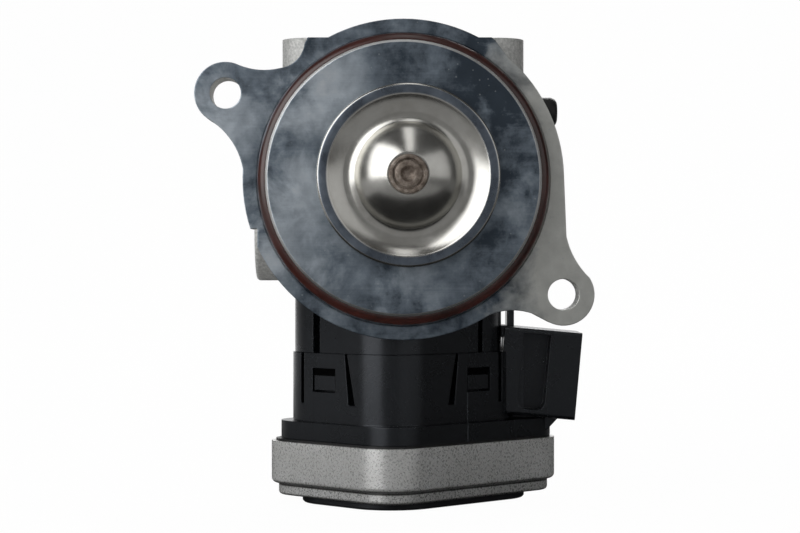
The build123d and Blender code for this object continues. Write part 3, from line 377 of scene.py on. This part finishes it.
def polished_head_steel():
    """Polished steel: a soft mirror with faint lathe rings and a thin haze, duller and
    blue on the flat rim where the heat has been."""
    made, tree = new_material("polished_heat_resisting_steel")
    here = add(tree, "TexCoord").outputs["Object"]
    flat = add(tree, "VectorMath", {0: here, 1: (1, 0, 1)}, operation="MULTIPLY")
    out = add(tree, "VectorMath", {0: flat}, operation="LENGTH").outputs["Value"]
    rings = add(tree, "TexNoise", {"W": out, "Scale": per_mm(0.35), "Detail": 2.0},
                noise_dimensions="1D")
    haze = add(tree, "TexNoise", {"Vector": here, "Scale": per_mm(6), "Detail": 6.0,
                                  "Roughness": 0.65})
    rim = add(tree, "MapRange", {"Value": out, "From Min": TROUGH_OUT_R * MM,
                                 "From Max": (RIM_IN + 0.1) * MM, "To Min": 0.0, "To Max": 1.0})
    bright = add(tree, "ValToRGB", {"Fac": haze}, stops=((0.3, "c2c0ba"), (0.7, "d8d7d2")))
    blued = add(tree, "ValToRGB", {"Fac": haze}, stops=((0.3, "5c646f"), (0.7, "8d97a4")))
    edge = add(tree, "MapRange", {"Value": out, "From Min": BLUED_OUT * MM,
                                  "From Max": (BLUED_OUT + 0.2) * MM,
                                  "To Min": 0.0, "To Max": 1.0})
    rim = add(tree, "Math", {0: rim, 1: edge}, operation="SUBTRACT")
    colour = add(tree, "Mix", {"Factor": rim, "A": bright, "B": blued}, data_type="RGBA")
    gloss = add(tree, "MapRange", {"Value": haze, "From Min": 0.3, "From Max": 0.75,
                                   "To Min": 0.19, "To Max": 0.27})
    duller = add(tree, "Math", {0: rim, 1: 0.06}, operation="MULTIPLY")
    gloss = add(tree, "Math", {0: gloss, 1: duller}, operation="ADD")
    bump = add(tree, "Bump", {"Height": rings, "Strength": 0.10, "Distance": 0.02 * MM})
    surface(tree, {"Base Color": colour, "Metallic": 1.0, "Roughness": gloss, "Normal": bump})
    return made


head_profile = (
    [(STEM_R, DOME_TOP + 0.02), (STEM_R + 0.15, DOME_TOP)]
    + arc((STEM_R + 0.3, DOME_TOP), (7.6, FRONT - 2.27), (DOME_FOOT_R, DOME_FOOT), 36)
    + arc((DOME_FOOT_R, DOME_FOOT), (12.0, FRONT + 1.41), (TROUGH_R, TROUGH), 14)
    + arc((TROUGH_R, TROUGH), (14.85, FRONT + 0.96), (TROUGH_OUT_R, TROUGH_OUT), 24)
    + [(TROUGH_OUT_R + 0.1, FRONT + 0.02), (RIM_IN + 0.1, FRONT)]
    + arc((HEAD_R - RIM_CHAMFER, FRONT), (HEAD_R - 0.22, FRONT + 0.18),
          (HEAD_R, FRONT + RIM_CHAMFER), 6)
    + arc((HEAD_R, RIM_BACK - 0.3), (HEAD_R - 0.1, RIM_BACK - 0.1), (HEAD_R - 0.3, RIM_BACK), 4)
    + [(SEAT_EDGE_R, RIM_BACK), (SEAT_OUT_R, HEAD_BACK)]
    + arc((SEAT_IN_R, HEAD_BACK), (8.4, HEAD_BACK + 1.3), (NECK_R, NECK), 14)
    + [(NECK_R, NECK), (STEM_R, NECK + 0.8)])
head = turned("valve_head_turned", head_profile, polished_head_steel())
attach(head, "poppet")
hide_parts("valve_head")

# ---- Valve stem -----------------------------------------------------------------
# The stem is ground steel, riveted through the head.  Its exposed end is scaled brown
# by exhaust heat, with a turned ring and the centre mark of the lathe in it.

# Behind the head, from SCALE_END to BARE_STEM, the scale gives way to ground steel.
SCALE_END, BARE_STEM = -15 * MM, -11 * MM


def heat_scaled_steel():
    """Heat-scaled steel: straw and brown oxide in fine patches, slightly rough."""
    made, tree = new_material("heat_scaled_stem_steel")
    here = add(tree, "TexCoord").outputs["Object"]
    at = add(tree, "SeparateXYZ", {"Vector": here})
    scale = add(tree, "TexNoise", {"Vector": here, "Scale": per_mm(1.4), "Detail": 7.0,
                                   "Roughness": 0.7})
    brown = add(tree, "ValToRGB", {"Fac": scale}, stops=(
        (0.32, "554a40"), (0.66, "a89e94"), (0.48, "7c7066")))
    back = add(tree, "MapRange", {"Value": at.outputs["Y"], "From Min": SCALE_END,
                                  "From Max": BARE_STEM, "To Min": 0.0, "To Max": 1.0})
    colour = add(tree, "Mix", {"Factor": back, "A": brown, "B": linear("a4a6a7")},
                 data_type="RGBA")
    bump = add(tree, "Bump", {"Height": scale, "Strength": 0.4, "Distance": 0.06 * MM})
    surface(tree, {"Base Color": colour, "Metallic": 0.5, "Roughness": 0.42, "Normal": bump})
    return made


TIP, TAIL_END = (corner.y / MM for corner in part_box("valve_stem"))
STEP_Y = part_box("spring_retainer")[0].y / MM
CLIP_Y, CLIP_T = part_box("retaining_clip")[0].y / MM, 0.8
TAIL_R, CLIP_GROOVE = 3.0, 0.6
stem_profile = (
    [(0, TIP + 1.0)]
    + arc((0.3, TIP + 0.95), (1.1, TIP + 0.6), (1.5, TIP + 0.05), 8)
    + [(1.65, TIP), (2.5, TIP), (2.7, TIP + 0.12), (2.8, TIP + 0.4), (3.0, TIP + 0.4),
       (3.1, TIP + 0.12), (3.25, TIP)]
    + arc((3.6, TIP), (3.88, TIP + 0.12), (STEM_R, TIP + 0.4), 5)
    + [(STEM_R, TIP + 0.4), (STEM_R, STEP_Y - 0.2), (STEM_R - 0.2, STEP_Y), (TAIL_R, STEP_Y),
       (TAIL_R, CLIP_Y), (TAIL_R - CLIP_GROOVE, CLIP_Y), (TAIL_R - CLIP_GROOVE, CLIP_Y + CLIP_T),
       (TAIL_R, CLIP_Y + CLIP_T), (TAIL_R, TAIL_END - 0.3), (TAIL_R - 0.3, TAIL_END),
       (0, TAIL_END)])
stem = turned("valve_stem_turned", stem_profile, heat_scaled_steel())
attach(stem, "poppet")
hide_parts("valve_stem")

# ---- Spigot seal ----------------------------------------------------------------
# A brown fluorocarbon O-ring sits in the groove round the spigot and seals against
# the bore of the intake.  It is moulded in two halves, which leaves a fine flash line.
RING_R, CORD_R, CORD_STEPS, FLASH = 28.4, 1.8, 36, 0.05
ring_front, ring_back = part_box("spigot_o_ring")
RING_Y = (ring_front.y + ring_back.y) / 2 / MM


def moulded_fluorocarbon():
    """Moulded fluorocarbon rubber: warm red brown, satin, with a fine mould grain."""
    made, tree = new_material("moulded_brown_fluorocarbon")
    here = add(tree, "TexCoord").outputs["Object"]
    patches = add(tree, "TexNoise", {"Vector": here, "Scale": per_mm(7), "Detail": 5.0,
                                     "Roughness": 0.6})
    tint = add(tree, "ValToRGB", {"Fac": patches}, stops=((0.35, "30140f"), (0.68, "47201a")))
    grain = add(tree, "TexNoise", {"Vector": here, "Scale": per_mm(0.3), "Detail": 2.0})
    bump = add(tree, "Bump", {"Height": grain, "Strength": 0.15, "Distance": 0.03 * MM})
    surface(tree, {"Base Color": tint, "Roughness": 0.28, "IOR": 1.65, "Normal": bump})
    return made


seal_profile = []
for k in range(CORD_STEPS):
    turn = 2 * pi * k / CORD_STEPS
    reach = CORD_R + (FLASH if k % (CORD_STEPS // 2) == 0 else 0)
    seal_profile.append((RING_R + reach * cos(turn), RING_Y + reach * sin(turn)))
seal = turned("spigot_seal_moulded", seal_profile, moulded_fluorocarbon(), x=0, z=0, sharp=60)
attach(seal, "housing")
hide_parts("spigot_o_ring")

# ---- Return spring --------------------------------------------------------------
# A coil spring of oil-tempered wire with closed ends sits round the guide boss and
# pushes the retainer, and with it the stem, back to closed.
retainer_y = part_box("spring_retainer")[0].y / MM
SPRING_START, COIL_R, WIRE_R = 27.0, 7.2, 0.6
COILS, CLOSED_TURNS = 5.5, 0.75
WIRE_SIDES, COIL_STEPS = 14, 48


def tempered_wire():
    """Oil-tempered wire: dark blue grey with a satin drawn finish."""
    made, tree = new_material("oil_tempered_spring_wire")
    here = add(tree, "TexCoord").outputs["Object"]
    drawn = add(tree, "TexNoise", {"Vector": here, "Scale": per_mm(0.8), "Detail": 4.0})
    tint = add(tree, "ValToRGB", {"Fac": drawn}, stops=((0.3, "3c4248"), (0.7, "6a7178")))
    bump = add(tree, "Bump", {"Height": drawn, "Strength": 0.15, "Distance": 0.03 * MM})
    surface(tree, {"Base Color": tint, "Metallic": 1.0, "Roughness": 0.33, "Normal": bump})
    return made


def coil_height(turns):
    """How far along the axis the wire is after that many turns: the ends lie flat."""
    free = retainer_y - SPRING_START - 2 * WIRE_R - 4 * WIRE_R * CLOSED_TURNS
    middle = (min(max(turns - CLOSED_TURNS, 0), COILS - 2 * CLOSED_TURNS)
              / (COILS - 2 * CLOSED_TURNS))
    closed = min(turns, CLOSED_TURNS) + max(turns - (COILS - CLOSED_TURNS), 0)
    return SPRING_START + WIRE_R + closed * 2 * WIRE_R + free * middle


work = bmesh.new()
rings = []
for i in range(int(COILS * COIL_STEPS) + 1):
    turns = i / COIL_STEPS
    a = 2 * pi * turns
    centre = Vector((COIL_R * cos(a), coil_height(turns), COIL_R * sin(a)))
    outward, along = Vector((cos(a), 0, sin(a))), Vector((0, 1, 0))
    ring = []
    for k in range(WIRE_SIDES):
        b = 2 * pi * k / WIRE_SIDES
        ring.append(work.verts.new((centre + WIRE_R * (outward * cos(b) + along * sin(b))) * MM))
    rings.append(ring)
for near, far in zip(rings, rings[1:]):
    for k in range(WIRE_SIDES):
        n = (k + 1) % WIRE_SIDES
        work.faces.new((near[k], near[n], far[n], far[k]))
work.faces.new(rings[0])
work.faces.new(rings[-1][::-1])
bmesh.ops.recalc_face_normals(work, faces=work.faces)
spring = finished("return_spring_wound", work, tempered_wire(), (VALVE_X, 0, VALVE_Z), 50)
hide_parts("return_spring")
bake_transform(spring)

# ---- Retainer, carriage and roller ----------------------------------------------
# Behind the spring the stem carries a pressed retainer and a milled steel carriage,
# held by a washer and an open clip.  The carriage leg holds a hardened roller on a
# pin, and the roller runs in the groove of the cam.
milled_steel = worked_metal("milled_steel", "a9acae", "7f8386", 0.38, 0.5)
ground_steel = worked_metal("ground_and_hardened_steel", "c3c6c8", "9da1a4", 0.18, 0.15)
dress(milled_steel, "spring_retainer", "follower_carriage", "carriage_washer")
dress(worked_metal("blackened_clip_steel", "4b4e52", "303236", 0.4, 0.3), "retaining_clip")
dress(ground_steel, "roller_pin", "follower_roller")

# ---- Cam, shaft and bearings ----------------------------------------------------
# The cam is a milled steel disc with a spiral groove.  It is pressed on an upright
# ground shaft, which turns in two sintered bushes, one in the chamber plate and one
# in the lower shell.
dress(milled_steel, "cam_disc")
dress(ground_steel, "cam_shaft")
dress(worked_metal("sintered_bearing_bronze", "a5844f", "7d6136", 0.45, 0.18),
      "upper_bearing", "lower_bearing")
dress(worked_metal("cut_aluminium_plate", "b4b6b7", "92959a", 0.4, 0.4), "bearing_plate")

# ---- Gear train -----------------------------------------------------------------
# The wheels are moulded from natural nylon and the motor pinion is sintered steel.
# The last gear is a sector, as the cam only turns through the stroke, and a magnet in
# the end of its shaft tells the sensor where the valve stands.


def moulded_nylon():
    """Moulded nylon: milky and slightly see-through, with faint flow marks."""
    made, tree = new_material("moulded_natural_nylon")
    here = add(tree, "TexCoord").outputs["Object"]
    flow = add(tree, "TexNoise", {"Vector": here, "Scale": per_mm(3), "Detail": 4.0,
                                  "Distortion": 1.0})
    tint = add(tree, "ValToRGB", {"Fac": flow}, stops=((0.3, "d8d2c0"), (0.7, "e8e4d6")))
    bump = add(tree, "Bump", {"Height": flow, "Strength": 0.08, "Distance": 0.05 * MM})
    surface(tree, {"Base Color": tint, "Roughness": 0.42, "IOR": 1.53,
                   "Subsurface Weight": 0.15, "Subsurface Scale": 0.8 * MM, "Normal": bump})
    return made


dress(moulded_nylon(), "sector_gear", "intermediate_gear")
dress(worked_metal("sintered_pinion_steel", "8d8f90", "6a6c6e", 0.42, 0.2), "motor_pinion")
dress(ground_steel, "intermediate_gear_pin", "motor_shaft")
dress(worked_metal("nickel_plated_magnet", "c9c9c4", "aeaea8", 0.22, 0.6), "sensor_magnet")

# ---- Motor ----------------------------------------------------------------------
# The drive motor has a deep-drawn, zinc-plated can with two ferrite magnets in it, a
# laminated armature whose copper winding is left to its colour, and a moulded end cap.

# The two colours, the roughness and the share of specks of the black nylon mouldings.
NYLON_LOOK = ("0b0d10", "06080a", 0.28, 0.2)
# Seams from the mould run up to this height, and are twice SEAM_HALF wide.
SEAM_TOP, SEAM_HALF = -45.8 * MM, 0.1 * MM


def laminated_armature():
    """Lacquered laminations and copper wire: dark red brown stripes across the stack."""
    made, tree = new_material("laminations_and_lacquered_copper")
    here = add(tree, "TexCoord").outputs["Object"]
    at = add(tree, "SeparateXYZ", {"Vector": here})
    sheets = add(tree, "TexNoise", {"W": at.outputs["Z"], "Scale": per_mm(0.5)},
                 noise_dimensions="1D")
    tint = add(tree, "ValToRGB", {"Fac": sheets}, stops=((0.4, "6b3f27"), (0.6, "9a5f3a")))
    bump = add(tree, "Bump", {"Height": sheets, "Strength": 0.3, "Distance": 0.1 * MM})
    surface(tree, {"Base Color": tint, "Metallic": 1.0, "Roughness": 0.4, "Normal": bump})
    return made


def filled_moulding(name, light, dark, rough, speck, shade=None, seams=()):
    """A moulding full of fibres or powder: near black and satin, with tiny grey specks
    and faint flow marks.  Between the two shade heights, in mm, shade is painted in:
    it is dead black and gives no sheen.  Seams are the thin upright lines, each an x in
    mm and its colour, where the slides of the mould met."""
    made, tree = new_material(name)
    here = add(tree, "TexCoord").outputs["Object"]
    at = add(tree, "SeparateXYZ", {"Vector": here})
    flow = add(tree, "TexNoise", {"Vector": here, "Scale": per_mm(9), "Detail": 5.0,
                                  "Roughness": 0.6, "Distortion": 0.8})
    tint = add(tree, "ValToRGB", {"Fac": flow}, stops=((0.35, dark), (0.7, light)))
    fibres = add(tree, "TexNoise", {"Vector": here, "Scale": per_mm(0.28), "Detail": 2.0})
    specks = add(tree, "MapRange", {"Value": fibres, "From Min": 0.62, "From Max": 0.75,
                                    "To Min": 0.0, "To Max": speck})
    colour = add(tree, "Mix", {"Factor": specks, "A": tint, "B": linear("5d6063")},
                 data_type="RGBA")
    gloss = add(tree, "MapRange", {"Value": flow, "From Min": 0.3, "From Max": 0.7,
                                   "To Min": rough - 0.04, "To Max": rough + 0.06})
    for x, code in seams:
        line = add(tree, "Math", {0: at.outputs["X"], 1: x * MM, 2: SEAM_HALF},
                   operation="COMPARE")
        below = add(tree, "Math", {0: at.outputs["Z"], 1: SEAM_TOP}, operation="LESS_THAN")
        line = add(tree, "Math", {0: line, 1: below}, operation="MULTIPLY")
        colour = add(tree, "Mix", {"Factor": line, "A": colour, "B": linear(code)},
                     data_type="RGBA")
    sheen = 0.5
    if shade:
        low, high = shade
        painted_window_shade = add(tree, "Math", {0: at.outputs["Z"], 1: (low + high) / 2 * MM,
                                  2: (high - low) / 2 * MM}, operation="COMPARE")
        colour = add(tree, "Mix", {"Factor": painted_window_shade, "A": colour, "B": linear("020202")},
                     data_type="RGBA")
        sheen = add(tree, "MapRange", {"Value": painted_window_shade, "To Min": 0.5, "To Max": 0.02})
    edges = add(tree, "Bevel", {"Radius": 0.25 * MM}, samples=6)
    bump = add(tree, "Bump", {"Height": fibres, "Strength": 0.12, "Distance": 0.04 * MM,
                              "Normal": edges})
    surface(tree, {"Base Color": colour, "Roughness": gloss, "IOR": 1.62,
                   "Specular IOR Level": sheen, "Specular Tint": linear("eff5ff"),
                   "Normal": bump})
    return made


# From z -42.0 to -40.2 mm shade is painted in, where the skirt shades the barbs seen through its
# windows.
black_nylon = filled_moulding("moulded_glass_filled_nylon", *NYLON_LOOK, shade=(-42.0, -40.2))
dress(worked_metal("zinc_plated_drawn_steel", "b7babc", "989b9e", 0.3, 1.5), "motor_can")
dress(laminated_armature(), "motor_armature")
dress(filled_moulding("ferrite_magnet", "2e2e30", "222224", 0.6, 0.2), "motor_magnets")
dress(black_nylon, "motor_end_cap")

# ---- Upper shell ----------------------------------------------------------------
# The motor sits in a deep moulding of black glass-filled nylon, screwed up under the
# casting on a rubber gasket with three cap screws.  A barb on each front face snaps
# into the lower shell.
screw_steel = worked_metal("zinc_plated_screw_steel", "b5b7b6", "8f9291", 0.3, 0.4)
dress(black_nylon, "actuator_shell")
dress(black_rubber, "actuator_gasket")
dress(screw_steel, "actuator_screws")

# ---- Lower shell and socket -----------------------------------------------------
# The lower shell is moulded in one piece with the snap skirt, the roof of the gear
# case and the five-way socket.  Its blades are tinned brass, moulded in.
dress(filled_moulding("moulded_skirt_nylon", *NYLON_LOOK,
                      seams=((-19.7, "010101"), (14.1, "43474b"))), "connector_skirt")
dress(worked_metal("tinned_brass", "c8c6be", "a8a69e", 0.25, 0.5), "connector_terminals")

# ---- Gear case cover ------------------------------------------------------------
# The cover is an aluminium die casting, shot blasted all over, so it sparkles finely.
# Four screws hold it against a gasket.  A black lid closes the bay of the sensor, a
# small circuit board over the magnet.

# Shade is painted dark into the step right under the foot of the cover's band.
BAND_FOOT = -66.2 * MM


def blasted_cover_casting():
    """Shot-blasted die casting: light silver grey with a fine pitted sparkle, with shade
    painted dark under the band and wherever it faces down."""
    made, tree = new_material("shot_blasted_die_casting")
    here = add(tree, "TexCoord").outputs["Object"]
    blast = add(tree, "TexNoise", {"Vector": here, "Scale": per_mm(0.42), "Detail": 4.0,
                                   "Roughness": 0.7})
    broad = add(tree, "TexNoise", {"Vector": here, "Scale": per_mm(8), "Detail": 4.0})
    tint = add(tree, "ValToRGB", {"Fac": blast}, stops=((0.33, "cdcecd"), (0.68, "f8f8f7")))
    stain = add(tree, "ValToRGB", {"Fac": broad}, stops=((0.35, "f2f2f1"), (0.65, "ffffff")))
    colour = add(tree, "Mix", {"Factor": 1.0, "A": tint, "B": stain}, data_type="RGBA",
                 blend_type="MULTIPLY")
    gloss = add(tree, "MapRange", {"Value": blast, "From Min": 0.3, "From Max": 0.7,
                                   "To Min": 0.24, "To Max": 0.34})
    # Painted shade: a dark band just under the band's foot, and darker colour wherever the surface
    # faces down.
    height = add(tree, "SeparateXYZ", {"Vector": here}).outputs["Z"]
    under = add(tree, "MapRange", {"Value": height, "From Min": BAND_FOOT - 0.1 * MM,
                                   "From Max": BAND_FOOT, "To Min": 1.0, "To Max": 0.0})
    above = add(tree, "MapRange", {"Value": height, "From Min": BAND_FOOT - 0.6 * MM,
                                   "From Max": BAND_FOOT - 0.4 * MM, "To Min": 0.0, "To Max": 0.9})
    painted_underside_shade = add(tree, "Math", {0: under, 1: above}, operation="MULTIPLY")
    facing = add(tree, "SeparateXYZ", {"Vector": add(tree, "NewGeometry").outputs["Normal"]})
    facing_down_shade = add(tree, "MapRange", {"Value": facing.outputs["Z"], "From Min": -0.3,
                                    "From Max": -0.7, "To Min": 0.0, "To Max": 0.85})
    painted_underside_shade = add(tree, "Math", {0: painted_underside_shade, 1: facing_down_shade}, operation="MAXIMUM")
    colour = add(tree, "Mix", {"Factor": painted_underside_shade, "A": colour, "B": linear("222221")},
                 data_type="RGBA")
    bump = add(tree, "Bump", {"Height": blast, "Strength": 0.12, "Distance": 0.06 * MM})
    surface(tree, {"Base Color": colour, "Metallic": 0.6, "Roughness": gloss, "Normal": bump})
    return made


def lacquered_board():
    """Glass-epoxy board: green lacquer over a faint weave."""
    made, tree = new_material("green_lacquered_board")
    here = add(tree, "TexCoord").outputs["Object"]
    weave = add(tree, "TexVoronoi", {"Vector": here, "Scale": per_mm(0.5), "Randomness": 0.2})
    tint = add(tree, "ValToRGB", {"Fac": weave.outputs["Distance"]},
               stops=((0.1, "1f5a34"), (0.6, "2b7043")))
    bump = add(tree, "Bump", {"Height": weave.outputs["Distance"], "Strength": 0.1,
                              "Distance": 0.03 * MM})
    surface(tree, {"Base Color": tint, "Roughness": 0.3, "Coat Weight": 0.5,
                   "Coat Roughness": 0.1, "Normal": bump})
    return made


dress(blasted_cover_casting(), "gear_case_cover")
dress(filled_moulding("moulded_lid_plastic", "19191a", "101011", 0.5, 0.3), "bottom_lid")
dress(black_rubber, "gear_case_gasket")
dress(screw_steel, "gear_case_screws")
dress(lacquered_board(), "sensor_board")

# ---- Side fittings --------------------------------------------------------------
# A steel core plug closes the core hole on the left of the casting.  On the right a
# turned nipple, once used for a pressure line, is closed with a rubber cap.
dress(milled_steel, "core_plug")
dress(ground_steel, "side_nipple")
dress(black_rubber, "side_cap")

# ---- Floor, lamps and camera ----------------------------------------------------
# A white paper sweep runs under and behind the valve.  A large soft box stands at the
# left, a narrow strip hangs above and a softer fill stands behind.  Grey screens and
# cards that only reflections see give the polished head something to mirror.
FLOOR_Z = cad_box[0][2]
LAMP_AIM = Vector((0, 0, -0.02))
# The screens stand STAGE metres away and reach from SCREEN_FOOT up to the ceiling.
STAGE, SCREEN_FOOT, CEILING = 1.3, -0.07, 1.0


def seen_directly(tree):
    """1 for the rays that show the paper itself: from the camera, mirrored or through
    something clear."""
    rays = add(tree, "LightPath")
    seen = add(tree, "Math", {0: rays.outputs["Is Camera Ray"],
                              1: rays.outputs["Is Glossy Ray"]}, operation="MAXIMUM")
    return add(tree, "Math", {0: seen, 1: rays.outputs["Is Transmission Ray"]},
               operation="MAXIMUM")


def white_paper(lift):
    """Matt white paper: seen directly it is close to pure white, and keeps the shadow."""
    made, tree = new_material("white_paper_sweep")
    seen = seen_directly(tree)
    share = add(tree, "Math", {0: seen, 1: lift}, operation="MULTIPLY")
    paper = add(tree, "BsdfDiffuse", {"Color": linear("f4f4f3")})
    glow = add(tree, "Emission", {"Color": linear("ffffff"), "Strength": 1.0})
    both = add(tree, "MixShader", {0: share, 1: paper, 2: glow})
    add(tree, "OutputMaterial", {"Surface": both})
    return made


def sweep():
    """Floor that curves up into the backdrop."""
    work = bmesh.new()
    half, front, back, bend, top = 3.0, -2.5, 1.6, 0.6, 3.0
    line = [(front, FLOOR_Z), (back - bend, FLOOR_Z)]
    line += [(back - bend + bend * sin(radians(a)), FLOOR_Z + bend - bend * cos(radians(a)))
             for a in range(6, 91, 6)]
    line += [(back, FLOOR_Z + top)]
    rows = [[work.verts.new((x, y, z)) for x in (-half, half)] for y, z in line]
    for near, far in zip(rows, rows[1:]):
        work.faces.new((near[0], near[1], far[1], far[0]))
    return finished("floor_sweep", work, white_paper(0.98), sharp=60)


sweep()

world = bpy.data.worlds.new("studio")
bpy.context.scene.world = world
world.use_nodes = True
air = world.node_tree
air.nodes.clear()
seen = seen_directly(air)
room = add(air, "Background", {"Color": linear("ffffff"), "Strength": 0.13})
white = add(air, "Background", {"Color": linear("ffffff"), "Strength": 1.0})
both = add(air, "MixShader", {0: seen, 1: room, 2: white})
add(air, "OutputWorld", {"Surface": both})


def lamp(name, azimuth, height, reach, size, power):
    """A soft box at that azimuth round the valve, counted from the front to the right."""
    light = bpy.data.lights.new(name, "AREA")
    light.shape = "RECTANGLE"
    light.size, light.size_y = size
    light.energy = power
    made = bpy.data.objects.new(name, light)
    turn = radians(azimuth)
    made.location = (reach * sin(turn), -reach * cos(turn), height)
    made.rotation_euler = (LAMP_AIM - made.location).to_track_quat("-Z", "Y").to_euler()
    bpy.context.scene.collection.objects.link(made)


lamp("left_soft_box", -50, 0.32, 0.95, (1.0, 1.3), 8.4)
lamp("top_strip", 5, 0.86, 0.3, (0.2, 0.8), 0.55)
lamp("back_fill", 168, 1.0, 1.1, (0.8, 0.8), 10.0)


def screen_cloth(name, grey):
    """Screen cloth that reads as one even grey in a reflection, with a faint nap."""
    made, tree = new_material(name)
    nap = add(tree, "TexNoise", {"Scale": 60.0})
    tone = add(tree, "MapRange", {"Value": nap, "To Min": grey * 0.85, "To Max": grey * 1.15})
    add(tree, "OutputMaterial", {"Surface": add(tree, "Emission", {"Strength": tone})})
    return made


def hang(name, work, grey):
    """Makes a stage piece of cloth that only reflections see."""
    screen = finished(name, work, screen_cloth(name + "_cloth", grey), sharp=60)
    screen.visible_camera = screen.visible_shadow = screen.visible_diffuse = False


def standing(name, first, last, grey):
    """A screen that stands round the valve from one azimuth to the other."""
    work = bmesh.new()
    rows = [[work.verts.new((STAGE * sin(radians(a)), -STAGE * cos(radians(a)), z))
             for z in (SCREEN_FOOT, CEILING)] for a in range(first, last + 1, 5)]
    for near, far in zip(rows, rows[1:]):
        work.faces.new((near[0], far[0], far[1], near[1]))
    hang(name, work, grey)


def level(name, left, right, front, back, height, grey):
    """A flat piece of cloth: a card on the table, or the ceiling."""
    work = bmesh.new()
    work.faces.new([work.verts.new((x, y, height)) for x, y in (
        (left, front), (right, front), (right, back), (left, back))])
    hang(name, work, grey)


for name, first, last, grey in (("left_side_screen", -150, -100, 0.05),
                                ("left_screen", -100, -60, 0.11),
                                ("front_screen", -60, 20, 0.19),
                                ("right_screen", 20, 80, 0.52),
                                ("right_side_screen", 80, 110, 0.03),
                                ("side_screen", 110, 150, 0.05)):
    standing(name, first, last, grey)
# The cards lie edge to edge: two at the sides, and in the middle a dark one under the
# valve and a lighter one in front of it.
TABLE_Z = FLOOR_Z + 0.1 * MM
CARD_LEFT, CARD_RIGHT, CARD_FRONT, CARD_BACK = -0.14, 0.2, -0.08, 0.4
level("ceiling", -STAGE, STAGE, -STAGE, 1.2, CEILING, 0.06)
level("left_card", -STAGE, CARD_LEFT, -STAGE, CARD_BACK, TABLE_Z, 0.3)
level("table", CARD_LEFT, CARD_RIGHT, CARD_FRONT, CARD_BACK, TABLE_Z, 0.02)
level("table_front", CARD_LEFT, CARD_RIGHT, -STAGE, CARD_FRONT, TABLE_Z, 0.24)
level("right_card", CARD_RIGHT, STAGE, -STAGE, CARD_BACK, TABLE_Z, 0.12)

IMAGE_WIDTH, FOCAL_PIXELS, FILM_WIDTH = 800, 2112, 36
camera = bpy.data.objects.new("camera", bpy.data.cameras.new("camera"))
camera.data.sensor_width = FILM_WIDTH
camera.data.lens = FOCAL_PIXELS * FILM_WIDTH / IMAGE_WIDTH
camera.location = (-0.7 * MM, -440 * MM, -18.15 * MM)
camera.rotation_euler = (radians(90), 0, 0)
bpy.context.scene.collection.objects.link(camera)
bpy.context.scene.camera = camera
bpy.context.scene.view_settings.view_transform = "Standard"
